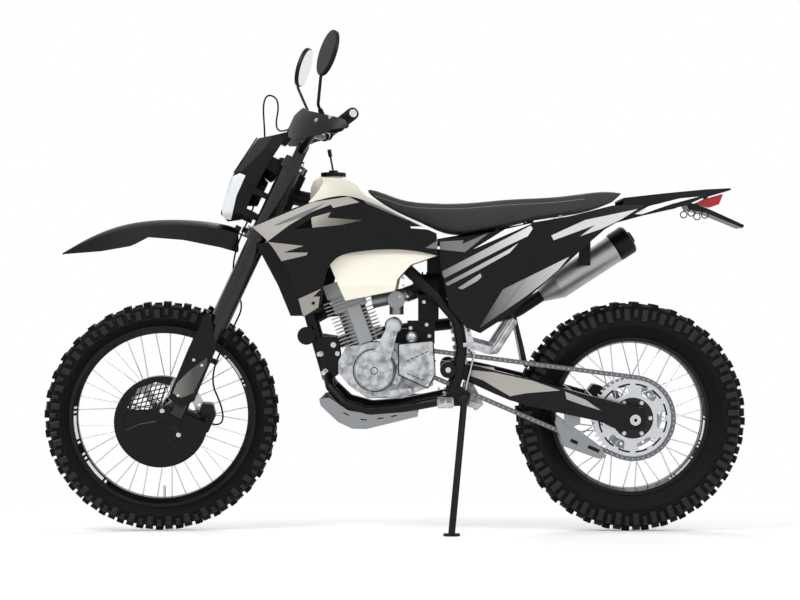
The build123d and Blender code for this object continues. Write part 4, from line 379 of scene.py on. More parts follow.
# Skid plate and chain guide: aluminium plate, rolled and bent, and left bare.
# Both are bolted on, and the rolled surface is a little dull.
skid_alloy = material("Aluminium plate, rolled and bent", "#8E9092", 0.4, 1.0)
roughen(skid_alloy, 0.8, 0.03)
for name in ("skid_plate", "chain_guide"):
    dress(name, skid_alloy)

# Exhaust: a painted header and a brushed stainless can with a moulded black end cap.
# The cap's faces lie past the can's rear band, and those of its black hanger stand off its wall.
CAN_START = Vector((452.0, 150.0, 706.0))
CAN_END = Vector((682.0, 150.0, 856.0))
CAN_RADIUS = 46.0
# Heat leaves the header's paint dull, and brushing round the can stretches its highlights.
header_paint = material("Steel tube, heat-proof black paint", "#0E0E0F", 0.55, specular=0.25)
dress("exhaust_header", header_paint)
brushed = material("Stainless steel, brushed round the can", "#B2B3B5", 0.46, 1.0)
shader_of(brushed).inputs["Anisotropic"].default_value = 0.4
end_cap = material("Nylon, moulded black", "#09090A", 0.42, specular=0.2)
dress("muffler", brushed, end_cap)
can_axis = (CAN_END - CAN_START).normalized()
cap_from = (CAN_END - CAN_START).length - 2.5
machine_back = MACHINE.inverted()
for face in frame["nodes"]["muffler"].data.polygons:
    off = machine_back @ face.center - CAN_START
    along = off.dot(can_axis)
    aside = (off - can_axis * along).length
    face.material_index = 1 if along > cap_from or aside > CAN_RADIUS + 6.0 else 0

# Bodywork: polypropylene moulded in black, under clear-coated printed films with a woven look.
# The panels are dyed through and satin, and their films are printed with a fine dark weave.


def weave(finish, dark, light, pitch_mm):
    """Prints a fine two-tone weave on the sides of a panel."""
    tree = finish.node_tree
    where = add(tree, "ShaderNodeTexCoord")
    apart = add(tree, "ShaderNodeSeparateXYZ", {0: where.outputs["Object"]})
    flat = add(tree, "ShaderNodeCombineXYZ", {0: apart.outputs[0], 1: apart.outputs[2]})
    turned = add(tree, "ShaderNodeMapping", {"Vector": flat.outputs[0],
                                             "Rotation": (0.0, 0.0, math.radians(45))})
    cells = add(tree, "ShaderNodeTexChecker", {"Vector": turned.outputs[0], "Scale": 1000.0 / pitch_mm,
                                               "Color1": linear(dark), "Color2": linear(light)})
    tree.links.new(cells.outputs["Color"], shader_of(finish).inputs["Base Color"])


# The print is finer than the picture can show, so its weave is drawn 2.6 mm across.
WEAVE_MM = 2.6
printed_black = material("Polypropylene under a black printed film", "#0A0A0B", 0.3, specular=0.15)
weave(printed_black, "#060606", "#171819", WEAVE_MM)
for name in ("shrouds", "side_panels", "headlight_mask", "fork_guards"):
    dress(name, printed_black)
# Bare panels keep the fine texture of the mould, which makes them satin.
black_plastic = material("Polypropylene, moulded satin black", "#080809", 0.34, specular=0.2)
roughen(black_plastic, 1.5, 0.03)
for name in ("rear_fender", "front_fender", "inner_mudguard", "plate_holder", "air_box", "tank_cap", "horn",
             "hand_guards", "mirrors", "instrument"):
    dress(name, black_plastic)


def decal(name, node, place, outline, hand, body, finish, lift):
    """Lays a film on the outward faces of a CAD node, inside an outline of x and z in millimetres."""
    source = bmesh.new()
    source.from_mesh(frame["nodes"][node].data)
    bmesh.ops.transform(source, matrix=place.inverted(), verts=source.verts)
    bmesh.ops.remove_doubles(source, verts=source.verts, dist=0.02)
    outer = BVHTree.FromBMesh(source)
    outward = Vector((0.0, float(hand), 0.0))
    corners = [Vector((x, 0.0, z)) for x, z in outline]
    middle = sum(corners, Vector()) / len(corners)
    reach = max((corner - middle).length for corner in corners) + 180.0
    unseen = []
    for face in source.faces:
        centre = face.calc_center_median()
        away = min((Vector((v.co.x, 0.0, v.co.z)) - middle).length for v in face.verts) > reach
        if away or face.normal.y * hand < 0.2 or outer.ray_cast(centre + face.normal * 0.5, outward)[0]:
            unseen.append(face)
    bmesh.ops.delete(source, geom=unseen, context="FACES")
    film = bmesh.new()
    for triangle in tessellate_polygon([[Vector((x, z, 0.0)) for x, z in outline]]):
        part = source.copy()
        cuts = [corners[i] for i in triangle]
        centre = sum(cuts, Vector()) / 3
        for start, end in zip(cuts, cuts[1:] + cuts[:1]):
            side = (end - start).cross(Vector(RIGHT))
            if side.dot(centre - start) > 0:
                side.negate()
            bmesh.ops.bisect_plane(part, geom=part.verts[:] + part.edges[:] + part.faces[:], dist=1e-4,
                                   plane_co=start, plane_no=side, clear_outer=True)
        kept = bpy.data.meshes.new("kept")
        part.to_mesh(kept)
        part.free()
        film.from_mesh(kept)
        bpy.data.meshes.remove(kept)
    source.free()
    bmesh.ops.remove_doubles(film, verts=film.verts, dist=0.01)
    bmesh.ops.translate(film, verts=film.verts, vec=outward * lift)
    piece(name, film, place, body, finish, True)


def graded(name, near, far, start_mm, end_mm, roughness):
    """A film whose colour runs from one to another along the machine."""
    made = material(name, near, roughness)
    tree = made.node_tree
    where = add(tree, "ShaderNodeTexCoord")
    apart = add(tree, "ShaderNodeSeparateXYZ", {0: where.outputs["Object"]})
    along = add(tree, "ShaderNodeMapRange", {"Value": apart.outputs[0], "From Min": start_mm / 1000,
                                             "From Max": end_mm / 1000})
    ramp = add(tree, "ShaderNodeValToRGB", {"Fac": along.outputs[0]})
    ramp.color_ramp.elements[0].color = linear(near)
    ramp.color_ramp.elements[1].color = linear(far)
    tree.links.new(ramp.outputs["Color"], shader_of(made).inputs["Base Color"])
    return made


# The films are smooth under their clear coat, and some fade from one grey to another.
light_film = graded("Vinyl film, printed light grey", "#A39F99", "#B5B1AB", -407, -103, 0.35)
mid_film = material("Vinyl film, printed mid grey", "#6E6E70", 0.38)
dart_film = material("Vinyl film, printed warm grey", "#96928C", 0.38)
white_film = material("Vinyl film, printed white", "#F2F2F0", 0.32)
silver_film = graded("Vinyl film, printed silver, bright to the rear", "#6B6B6C", "#DADADB", 135, 404, 0.3)
patch_film = graded("Vinyl film, printed silver, fading out", "#242527", "#C4C4C6", 250, 500, 0.3)
band_film = material("Vinyl film, printed pale silver", "#C9C9CA", 0.3)

# Printed films: vinyl, cut to points and laid on both sides alike, each given by its outline in x
# and z. A film that overlaps another lies a little higher.
NOSE = ((-407, 909), (-363, 868), (-301, 916), (-239, 954), (-184, 976), (-179, 966), (-103, 983),
        (-134, 1000), (-237, 983))
NOSE_DARK = ((-347, 914), (-263, 954), (-196, 983), (-215, 971), (-261, 940), (-335, 914))
DART = ((-361, 866), (-261, 855), (-318, 836), (-249, 836), (-253, 828), (-325, 811))
FOOT = ((-279, 701), (-211, 732), (-235, 708), (-216, 709), (-221, 677), (-264, 650))
ARROW = ((90, 850), (119, 868), (201, 873), (197, 862), (275, 895), (205, 838))
WEDGE = ((47, 912), (81, 912), (112, 902), (47, 907))
TOP_LINE = ((-98, 997), (33, 939), (105, 915), (33, 932), (-83, 980))
SEAT_WEDGE = ((230, 847), (342, 917), (402, 922))
STREAKS = (
    ((135, 780), (398, 916), (404, 907), (389, 885), (328, 856), (145, 762)),
    ((147, 747), (336, 848), (361, 864), (336, 836), (246, 786), (154, 739)),
    ((184, 733), (250, 776), (254, 766), (242, 754), (197, 729)),
)
PATCH = ((316, 729), (511, 825), (478, 786), (435, 749), (382, 708), (246, 614))
BAND = ((458, 887), (559, 933), (716, 966), (666, 935), (605, 906), (543, 885), (588, 918), (465, 873))
TAIL_STRIPE = ((709, 952), (751, 975), (846, 999), (906, 1005), (819, 982), (730, 951))
FILM, OVERLAY = 0.4, 0.7
FILMS = (
    ("nose", "shrouds", NOSE, light_film, FILM),
    ("nose_dark", "shrouds", NOSE_DARK, mid_film, OVERLAY),
    ("dart", "shrouds", DART, dart_film, FILM),
    ("foot", "shrouds", FOOT, dart_film, FILM),
    ("arrow_front", "shrouds", ARROW, mid_film, FILM),
    ("arrow_rear", "side_panels", ARROW, mid_film, FILM),
    ("wedge", "shrouds", WEDGE, white_film, OVERLAY),
    ("top_line", "shrouds", TOP_LINE, mid_film, FILM),
    ("seat_wedge", "side_panels", SEAT_WEDGE, white_film, FILM),
    ("streak_0", "side_panels", STREAKS[0], silver_film, FILM),
    ("streak_1", "side_panels", STREAKS[1], silver_film, FILM),
    ("streak_2", "side_panels", STREAKS[2], silver_film, FILM),
    ("patch", "side_panels", PATCH, patch_film, FILM),
    ("band", "rear_fender", BAND, band_film, FILM),
    ("tail_stripe", "rear_fender", TAIL_STRIPE, white_film, FILM),
    ("band_front", "side_panels", BAND, band_film, FILM),
)
for hand, side in ((-1, "left"), (1, "right")):
    for name, node, outline, film, lift in FILMS:
        decal(name + "_" + side, node, MACHINE, outline, hand, "chassis", film, lift)

# Panel bolts: black screws with a flange, three through each shroud into the tank and the frame.
# Each stands where a ray from its side meets the shroud.


def wall_of(data, back):
    """A mesh taken back to its own frame in millimetres, ready for rays."""
    return BVHTree.FromPolygons([back @ v.co for v in data.vertices],
                                [tuple(face.vertices) for face in data.polygons])


shroud_wall = wall_of(frame["nodes"]["shrouds"].data, machine_back)
panel_bolts = bmesh.new()
for x, z in ((-330, 880), (-155, 945), (-235, 690)):
    for hand in (-1, 1):
        hit = shroud_wall.ray_cast(Vector((x, hand * 400, z)), Vector((0, -hand, 0)))[0]
        add_bolt(panel_bolts, hit, (0, hand, 0), 3.6)
piece("panel_bolts", panel_bolts, MACHINE, "chassis", black_plastic)

# Fuel tank: rotation moulded polyethylene, left in its natural milky colour.
# Light sinks into the wall and comes back warmer, so the shade is soft.
natural_tank = material("Polyethylene, rotation moulded, natural", "#F5F0E0", 0.42)
shader = shader_of(natural_tank)
shader.inputs["Subsurface Weight"].default_value = 0.25
shader.inputs["Subsurface Radius"].default_value = (0.012, 0.009, 0.006)
shader.inputs["Subsurface Scale"].default_value = 1.0
roughen(natural_tank, 3.0, 0.04)
dress("fuel_tank", natural_tank)

# Seat: a foam pad under a dark textured vinyl cover, stretched over the base and sewn along each
# side. The cloth solver fills the cover, and the result is held close to the foam's cut shape.
VOXEL = 0.0055
CLOTH_FRAMES = 12
PUFF = 0.002
# The cover's fine embossed grain takes nearly all the shine off it.
vinyl = material("Vinyl, embossed, dark grey", "#2E2F30", 0.6, specular=0.25)
roughen(vinyl, 1.8, 0.25)
dress("seat", vinyl)
pad_mesh = bmesh.new()
pad_mesh.from_mesh(frame["nodes"]["seat"].data)
bmesh.ops.remove_doubles(pad_mesh, verts=pad_mesh.verts, dist=2e-5)
bmesh.ops.recalc_face_normals(pad_mesh, faces=pad_mesh.faces)
pad_data = bpy.data.meshes.new("seat_pad")
pad_mesh.to_mesh(pad_data)
pad_mesh.free()
pad = bpy.data.objects.new("seat_pad", pad_data)
bpy.context.scene.collection.objects.link(pad)
bpy.context.view_layer.objects.active = pad
pad.select_set(True)
even = pad.modifiers.new("even", "REMESH")
even.mode = "VOXEL"
even.voxel_size = VOXEL
bpy.ops.object.modifier_apply(modifier=even.name)
rest = [v.co.copy() for v in pad.data.vertices]
filled = pad.modifiers.new("fill", "CLOTH")
filled.settings.quality = 5
filled.settings.mass = 0.3
filled.settings.tension_stiffness = 25
filled.settings.bending_stiffness = 4
filled.settings.use_pressure = True
filled.settings.uniform_pressure_force = 4.0
filled.settings.effector_weights.gravity = 0.0
filled.point_cache.frame_start = 1
filled.point_cache.frame_end = CLOTH_FRAMES
scene = bpy.context.scene
for number in range(1, CLOTH_FRAMES + 1):
    scene.frame_set(number)
bpy.ops.object.modifier_apply(modifier=filled.name)
scene.frame_set(1)
# The cover rises at most 2 mm, and where it sinks it sinks by less, since the base holds it.
for vertex, home in zip(pad.data.vertices, rest):
    moved = vertex.co - home
    if moved.length > PUFF:
        moved = moved.normalized() * PUFF
    vertex.co = home + moved * (1.0 if moved.z > 0 else 0.3)
smooth = pad.modifiers.new("smooth", "SMOOTH")
smooth.factor = 0.5
smooth.iterations = 3
bpy.ops.object.modifier_apply(modifier=smooth.name)
for face in pad.data.polygons:
    face.use_smooth = True
pad.data.materials.clear()
pad.data.materials.append(vinyl)
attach(pad, "chassis")
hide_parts("seat")

# Seat seams: pale polyester thread, one row of stitches down each side of the cover.
# Each row runs 17 mm below the height of the top and lies half sunk in the vinyl.
SEAM_DROP = 17.0
thread = material("Polyester thread, pale grey", "#8A8B8D", 0.7)
pad_wall = wall_of(pad.data, machine_back)
stitches = bmesh.new()
for hand in (-1, 1):
    points = []
    for step in range(110):
        x = -118 + step * 6.2
        top = pad_wall.ray_cast(Vector((x, hand * 40.0, 1400.0)), Vector((0.0, 0.0, -1.0)))[0]
        if not top:
            continue
        ray_from = Vector((x, hand * 300.0, top.z - SEAM_DROP))
        hit, normal = pad_wall.ray_cast(ray_from, Vector((0.0, -hand, 0.0)))[:2]
        if hit and normal.y * hand > 0.3:
            points.append(hit + normal * 0.3)
    for start, end in zip(points[:-1], points[1:]):
        if (end - start).length < 14:
            add_rod(stitches, start.lerp(end, 0.15), start.lerp(end, 0.8), 0.9, 6)
piece("seat_stitches", stitches, MACHINE, "chassis", thread)

# Wheels: anodised rims laced to black hubs with steel spokes, and mud tyres.
# The spokes, discs and sprocket are bright. A hub's node holds its spokes too, and the distance of
# a face from the axle tells which it is.
# The tyres are a dull black, the rims glossy, and the turned and punched metal shines.
rubber = material("Rubber, moulded, carbon black", "#0B0B0C", 0.6, specular=0.12)
roughen(rubber, 1.4, 0.12)
for name in ("front_tyre", "rear_tyre"):
    dress(name, rubber)
rim_black = material("Aluminium, anodised gloss black", "#08080A", 0.25, specular=0.2)
for name in ("front_rim", "rear_rim"):
    dress(name, rim_black)
hub_black = material("Aluminium, machined and anodised black", "#0D0D0F", 0.32, specular=0.3)
spoke_steel = material("Steel wire, bright zinc", "#C9CBCE", 0.22, 1.0)
ground_steel = material("Steel, ground, turned marks", "#B2B4B7", 0.3, 1.0)
sprocket_alloy = material("Aluminium, punched and turned", "#C6C8CB", 0.34, 1.0)
for name in ("front_disc", "rear_disc"):
    dress(name, ground_steel)
dress("rear_sprocket", sprocket_alloy)
dress("front_axle", zinc)
HUBS = (("front_hub", STEERED, FRONT_AXLE, 36.0), ("rear_hub", MACHINE, REAR_AXLE, 57.0))
for name, place, axle, flange in HUBS:
    dress(name, hub_black, spoke_steel)
    back = place.inverted()
    for face in frame["nodes"][name].data.polygons:
        off = back @ face.center - axle
        face.material_index = 1 if math.hypot(off.x, off.z) > flange + 1.5 else 0

# Rim marks: white vinyl, three groups of a long bar between short ones on each side of each rim.
# They lie on the slope between two rings, given by radius and distance from the middle.
MARK_BARS = ((-14, -12.5), (-11, -9.5), (-8, 8), (9.5, 11))
BAR_STEPS = 8
mark_white = material("Vinyl film, printed white on the rim", "#EDEDED", 0.35)
for name, place, axle, body, low_ring, high_ring, centres in (
    ("front_rim_marks", STEERED, FRONT_AXLE, "front_wheel", (255.6, 14.0), (262.6, 22.6), (34, 186, 218)),
    ("rear_rim_marks", MACHINE, REAR_AXLE, "rear_wheel", (222.6, 18.6), (225.8, 28.4), (349, 316, 140)),
):
    marks = bmesh.new()
    for hand in (-1, 1):
        for centre in centres:
            for start, end in MARK_BARS:
                turns = [centre + start + (end - start) * i / BAR_STEPS for i in range(BAR_STEPS + 1)]
                rows = []
                for radius, y in (low_ring, high_ring):
                    rows.append([marks.verts.new(around(axle.xz, radius - 0.5, turn, hand * (y + 0.5)))
                                 for turn in turns])
                for i in range(BAR_STEPS):
                    quad = (rows[0][i], rows[0][i + 1], rows[1][i + 1], rows[1][i])
                    marks.faces.new(quad if hand < 0 else quad[::-1])
    piece(name, marks, place, body, mark_white)

# Shoulder lugs: moulded rubber blocks that carry the tread down each sidewall, every other one
# longer and wider. Their outer edges are chamfered.
LUGS = 72
# New lugs keep a sheen from the mould, so they catch more light than the casing. Their colour is
# a shade lighter than the casing's too, a painted highlight.
lug_rubber_lit = material("Rubber, moulded lugs with a mould sheen", "#131314", 0.42, specular=0.3)
for name, place, axle, body, foot, top, low_y, high_y in (
    ("front_side_blocks", STEERED, FRONT_AXLE, "front_wheel", 301.0, 329.0, 33.0, 44.0),
    ("rear_side_blocks", MACHINE, REAR_AXLE, "rear_wheel", 288.0, 325.0, 46.0, 59.0),
):
    blocks = bmesh.new()
    for i in range(LUGS):
        turn = Matrix.Translation(axle) @ Matrix.Rotation(math.radians(360 / LUGS * (i + 0.5)), 4, "Y")
        low = foot if i % 2 else foot + 9.0
        wide = 9.5 if i % 2 else 7.0
        for hand in (-1, 1):
            sides = sorted((hand * low_y, hand * high_y))
            block = bmesh.new()
            add_box(block, (-wide, sides[0], low), (wide, sides[1], top))
            outer = [e for e in block.edges if all(v.co.y * hand > (low_y + high_y) / 2 for v in e.verts)]
            bmesh.ops.bevel(block, geom=outer, offset=2.0, segments=1, affect="EDGES", profile=0.5,
                            material=-1)
            bmesh.ops.transform(block, verts=block.verts, matrix=turn)
            kept = bpy.data.meshes.new("kept")
            block.to_mesh(kept)
            block.free()
            blocks.from_mesh(kept)
            bpy.data.meshes.remove(kept)
    piece(name, blocks, place, body, lug_rubber_lit)

# Front valve: a plated stem that stands from the rim toward the hub.
# It belongs to the tube in the tyre, and turns with the wheel.
valve = bmesh.new()
add_rod(valve, FRONT_AXLE - Vector((0, 0, 258)), FRONT_AXLE - Vector((0, 0, 215)), 3.6, 12)
piece("front_valve", valve, STEERED, "front_wheel", zinc)

# Brakes and their guard: a ribbed nylon shield over the front disc, moulded gloss black and held by
# two bright bolts. The calipers are cast alloy, painted black.
RIBS = (
    ((-806, 322), (-770, 338), 3.0), ((-770, 338), (-720, 346), 4.0), ((-720, 346), (-680, 330), 4.0),
    ((-680, 330), (-640, 306), 3.0), ((-720, 346), (-700, 372), 4.0),
)
BEAD_CENTRE = (-730.0, 340.0)
BEAD_RADIUS = 84.0
shield = material("Nylon, moulded gloss black", "#070708", 0.22, specular=0.18)
dress("disc_cover", shield)
caliper_black = material("Aluminium, cast, painted black", "#0C0C0D", 0.42, specular=0.25)
for name in ("front_caliper", "rear_caliper"):
    dress(name, caliper_black)
cover_wall = wall_of(frame["nodes"]["disc_cover"].data, STEERED.inverted())


def on_cover(x, z):
    """The outer face of the disc cover at this x and z, or None where a vent is open."""
    return cover_wall.ray_cast(Vector((x, -400, z)), Vector(RIGHT))[0]


shield_ribs = bmesh.new()
for start, end, radius in RIBS:
    points = [on_cover(*Vector(start).lerp(Vector(end), i / 6)) for i in range(7)]
    for low, high in zip(points, points[1:]):
        add_rod(shield_ribs, low, high, radius, 10)
for i in range(60):
    ends = [around(BEAD_CENTRE, BEAD_RADIUS, turn, 0.0) for turn in (6 * i, 6 * i + 6)]
    points = [on_cover(end.x, end.z) for end in ends]
    if all(points):
        add_rod(shield_ribs, points[0], points[1], 1.6, 8)
piece("shield_ribs", shield_ribs, STEERED, "steering", shield)
shield_bolts = bmesh.new()
for x, z in ((-703, 378), (-656, 306)):
    add_bolt(shield_bolts, on_cover(x, z), LEFT, 5.0)
piece("shield_bolts", shield_bolts, STEERED, "steering", zinc)

# Rear sprocket: an alloy ring, lightened by twelve curved slots and held by six bolts to a black
# carrier on the hub. The guide below it has two windows, where the chain shows.
carrier = bmesh.new()
add_rod(carrier, REAR_AXLE + Vector((0, -77.5, 0)), REAR_AXLE + Vector((0, -79.2, 0)), 61.0, 48)
piece("sprocket_carrier", carrier, MACHINE, "rear_wheel", hub_black)
# The slots are drawn as painted shade: flat black rods where the holes show only shadow.
sprocket_slots = bmesh.new()
for i in range(12):
    for j in range(5):
        first = 30 * i + 15 + 4 * (j - 2.5)
        start = around(REAR_AXLE.xz, 101.0, first, -77.8)
        end = around(REAR_AXLE.xz, 101.0, first + 4, -77.8)
        add_rod(sprocket_slots, start, end, 2.6, 8)
piece("sprocket_slots", sprocket_slots, MACHINE, "rear_wheel", slot_shade)
sprocket_bolts = bmesh.new()
for i in range(6):
    add_bolt(sprocket_bolts, around(REAR_AXLE.xz, 52.0, 60 * i, -79.2), LEFT, 4.4)
piece("sprocket_bolts", sprocket_bolts, MACHINE, "rear_wheel", zinc)
# The guide's windows are painted shade too, flat black rather than the chain behind them.
guide_slots = bmesh.new()
add_rod(guide_slots, (520, -90.0, 281), (540, -90.0, 272), 5.5, 12)
add_rod(guide_slots, (572, -90.0, 262), (604, -90.0, 248), 5.5, 12)
piece("guide_slots", guide_slots, MACHINE, "chassis", slot_shade)

# Chain: a 520 roller chain, two steel side plates to a link and a roller on each pin.
# It takes the place of the plain CAD band and follows the same two pitch circles.
PITCH = 15.875
FRONT_TEETH, REAR_TEETH = 13, 48
CHAIN_LINE = -75.0
PLATE, PLATE_END = 1.7, 6.6
INNER_PLATE, OUTER_PLATE = 3.9, 5.9
ROLLER, PIN = (4.0, 4.6, 12), (8.2, 2.4, 10)
front_centre, front_radius = Vector((84.0, 515.0)), PITCH / (2 * math.sin(math.pi / FRONT_TEETH))
rear_centre, rear_radius = REAR_AXLE.xz, PITCH / (2 * math.sin(math.pi / REAR_TEETH))
span = rear_centre - front_centre
lean = math.atan2(span.y, span.x)
spread = math.acos((front_radius - rear_radius) / span.length)


def chain_path(step_mm):
    """Points along the chain's pitch line, in order, over the top, round the rear and back."""
    points = []
    upper, lower = lean + spread, lean - spread
    run = math.sqrt(span.length ** 2 - (rear_radius - front_radius) ** 2)

    def on(centre, radius, angle):
        return centre + radius * Vector((math.cos(angle), math.sin(angle)))

    def line(start, end):
        count = max(2, round(run / step_mm))
        points.extend(start.lerp(end, i / count) for i in range(count))

    def arc(centre, radius, first, last):
        count = max(2, round(abs(last - first) * radius / step_mm))
        points.extend(on(centre, radius, first + (last - first) * i / count) for i in range(count))

    line(on(front_centre, front_radius, upper), on(rear_centre, rear_radius, upper))
    arc(rear_centre, rear_radius, upper, lower)
    line(on(rear_centre, rear_radius, lower), on(front_centre, front_radius, lower))
    arc(front_centre, front_radius, lower, upper - 2 * math.pi)
    return points


track = chain_path(1.0)
links = 2 * round(len(track) / PITCH / 2)
pins = [track[round(i * len(track) / links) % len(track)] for i in range(links)]
plates, rollers = bmesh.new(), bmesh.new()
for i, start in enumerate(pins):
    end = pins[(i + 1) % links]
    along = (end - start).normalized()
    across = Vector((-along.y, along.x))
    for hand in (-1, 1):
        near = CHAIN_LINE + hand * (OUTER_PLATE if i % 2 else INNER_PLATE)
        outline = []
        for centre, base in ((end, 0.0), (start, math.pi)):
            for turn in (-80, -40, 0, 40, 80):
                angle = base + math.radians(turn)
                outline.append(centre + PLATE_END * (math.cos(angle) * along + math.sin(angle) * across))
        faces = []
        for y in (near, near + hand * PLATE):
            faces.append(plates.faces.new([plates.verts.new((p.x, y, p.y)) for p in outline]))
        bmesh.ops.bridge_loops(plates, edges=[e for f in faces for e in f.edges])
    for half, radius, sides in (ROLLER, PIN):
        low, high = (start.x, CHAIN_LINE - half, start.y), (start.x, CHAIN_LINE + half, start.y)
        add_rod(rollers, low, high, radius, sides)
bmesh.ops.recalc_face_normals(plates, faces=plates.faces)
# Oil darkens the plates, and the rollers are worn bright.
chain_steel = material("Steel, stamped chain plates, oiled", "#6C6D70", 0.34, 1.0)
roller_steel = material("Steel, rolled chain rollers, bright", "#A6A8AB", 0.28, 1.0)
chain_plates = piece("chain_plates", plates, MACHINE, "chassis", chain_steel)
piece("chain_rollers", rollers, MACHINE, "chassis", roller_steel)
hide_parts("chain")

# Swingarm: an extruded alloy arm, painted black, with a pale printed flash down each side.
# Its pivot and adjuster bolts are zinc plated.
FLASH = ((226, 489), (288, 485), (404, 460), (486, 431), (387, 423), (338, 414), (259, 460), (222, 472))
FLASH_TAIL = ((500, 428), (560, 404), (606, 372), (552, 388), (505, 405))
arm_black = material("Aluminium, painted satin black", "#0A0A0B", 0.34, specular=0.2)
dress("swingarm", arm_black)
dress("swingarm_bolts", zinc)
arm_film = material("Vinyl film, printed pale grey", "#A5A19B", 0.35)
for hand, side in ((-1, "left"), (1, "right")):
    decal("flash_" + side, "swingarm", MACHINE, FLASH, hand, "chassis", arm_film, FILM)
    decal("flash_tail_" + side, "swingarm", MACHINE, FLASH_TAIL, hand, "chassis", arm_film, FILM)

# Shock absorber: a damper in its steel spring, held by a bolt at each end.
# It stands between the spars and shows as one bright plated body.
dress("shock_absorber", zinc)

# Fork: black anodised clamps and tubes, with a printed flash on each guard.
# The guards are moulded nylon and bolt to the axle clamps.
GUARD_FLASH = ((-14, 232), (-5, 214), (-6, 120), (-34, 92), (-60, 96), (-62, 128), (-44, 176))
# Turned and anodised, the tubes are glossy, with a long highlight down each.
tube_black = material("Aluminium, turned and anodised black", "#0B0B0D", 0.2, specular=0.45)
for name in ("fork_uppers", "fork_lowers", "triple_clamps", "handlebar"):
    dress(name, tube_black)
guard_film = graded("Vinyl film, printed grey, fading up the leg", "#8B8780", "#3C3A38", -680, -590, 0.36)
for hand, side in ((-1, "left"), (1, "right")):
    decal("guard_flash_" + side, "fork_guards", FORK, GUARD_FLASH, hand, "steering", guard_film, FILM)
guard_bolts = bmesh.new()
for hand in (-1, 1):
    for x, w in ((-46, 210), (-18, 205), (-44, 96)):
        add_bolt(guard_bolts, (x, hand * 131, w), (0, hand, 0), 3.2)
piece("guard_bolts", guard_bolts, FORK, "steering", zinc)

# Brake hose: rubber over braid, 5 mm across, from the lever's cylinder over the mask and down the
# left leg to the caliper. Two clips of the same black nylon as the guards hold it.
HOSE_ROUTE = (
    (-2.2, 274, 990), (-34, 262, 984), (-60, 150, 972), (-114, 28, 915), (-140, 14, 1022),
    (-196, -4, 1010), (-129, -24, 887), (-97, -42, 813), (-74, -70, 700), (-74, -70, 540),
    (-30, -66, 450), (20, -66, 410), (20, -104, 350), (12, -104, 180), (96, -98, 105),
    (114, -68, 52), (84.2, -62, 46),
)
# The hose has the same flat black as the rubber of the grips.
grip_rubber = material("Rubber, moulded with ribs", "#0A0A0B", 0.7, specular=0.15)
hose_line = bpy.data.curves.new("front_brake_hose", "CURVE")
hose_line.dimensions = "3D"
hose_line.bevel_depth = 0.0026
hose_line.bevel_resolution = 3
hose_line.use_fill_caps = True
spline = hose_line.splines.new("NURBS")
spline.points.add(len(HOSE_ROUTE) - 1)
for point, at in zip(spline.points, HOSE_ROUTE):
    point.co = (*(FORK @ Vector(at)), 1.0)
spline.order_u = 3
spline.use_endpoint_u = True
hose = bpy.data.objects.new("front_brake_hose", hose_line)
bpy.context.scene.collection.objects.link(hose)
hose_line.materials.append(grip_rubber)
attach(hose, "steering")
clips = bmesh.new()
add_rod(clips, (-74, -70, 608), (-74, -70, 624), 5.0, 16)
add_box(clips, (-74, -72.5, 608), (-54, -67.5, 624))
add_rod(clips, (15.6, -104, 218), (15.6, -104, 234), 5.6, 16)
add_box(clips, (-8, -106.5, 218), (14, -101.5, 234))
hose_clips = piece("hose_clips", clips, FORK, "steering", black_plastic)
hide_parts("brake_hose")

# Bars: a tapered alloy bar, ribbed grips with plugs in the ends, a lever either side.
# The levers are die cast and left bare. A rubber boot covers the foot of each mirror's stem.
BAR_BEND, BAR_END = (32.0, 255.0, 986.1), (59.0, 411.0, 1038.1)
LEVER_PIVOT, LEVER_KNUCKLE, LEVER_TIP = (14, 268, 984), (4, 308, 990), (18, 358, 1003)


def to_side(point, hand):
    """A point of the right-hand side, or its mirror on the left."""
    return Vector((point[0], hand * point[1], point[2]))


dress("grips", grip_rubber)
end_plugs, levers, stem_boots, grip_ribs = bmesh.new(), bmesh.new(), bmesh.new(), bmesh.new()
for hand in (-1, 1):
    end = to_side(BAR_END, hand)
    along = (end - to_side(BAR_BEND, hand)).normalized()
    add_rod(end_plugs, end - along * 1.0, end + along * 5.0, 13.5, 24, 11.0)
    for i in range(17):
        at = end - along * (104.0 - i * 6.0)
        add_rod(grip_ribs, at - along * 1.4, at + along * 1.4, 17.3, 24)
    tip = to_side(LEVER_TIP, hand)
    add_rod(levers, to_side(LEVER_PIVOT, hand), to_side(LEVER_KNUCKLE, hand), 6.0, 16, 5.0)
    add_rod(levers, to_side(LEVER_KNUCKLE, hand), tip, 5.0, 16, 4.0)
    bmesh.ops.create_uvsphere(levers, u_segments=16, v_segments=10, radius=7.0,
                              matrix=Matrix.Translation(tip))
    add_rod(stem_boots, (2, hand * 274, 997), (-24, hand * 279, 1021), 9.0, 20, 7.0)
piece("bar_plugs", end_plugs, FORK, "steering", dark_alloy)
piece("levers", levers, FORK, "steering", dark_alloy, True)
piece("stem_boots", stem_boots, FORK, "steering", grip_rubber)
piece("grip_ribs", grip_ribs, FORK, "steering", grip_rubber, True)

# Clamp bolts: zinc plated screws that pinch each leg in its two clamps, from the front and the side.
# There are two rows to a clamp.
clamp_bolts = bmesh.new()
for hand in (-1, 1):
    for w in (615, 640, 845, 862):
        add_bolt(clamp_bolts, (-34, hand * 104, w), (-1, 0, 0), SCREW)
        add_bolt(clamp_bolts, (2, hand * 133.0, w), (0, hand, 0), 3.4)
piece("clamp_bolts", clamp_bolts, FORK, "steering", zinc)

# Hand guards: moulded nylon shells on short alloy arms.
# Two zinc plated screws hold each of them to its arm, square to the shell where they stand.
guard_wall = wall_of(frame["nodes"]["hand_guards"].data, FORK.inverted())
guard_screws = bmesh.new()
for hand in (-1, 1):
    for x, w in ((-20, 984), (10, 1006)):
        hit, normal = guard_wall.ray_cast(Vector((x, hand * 500, w)), Vector((0, -hand, 0)))[:2]
        add_bolt(guard_screws, hit, normal, 4.2)
piece("guard_screws", guard_screws, FORK, "steering", zinc)

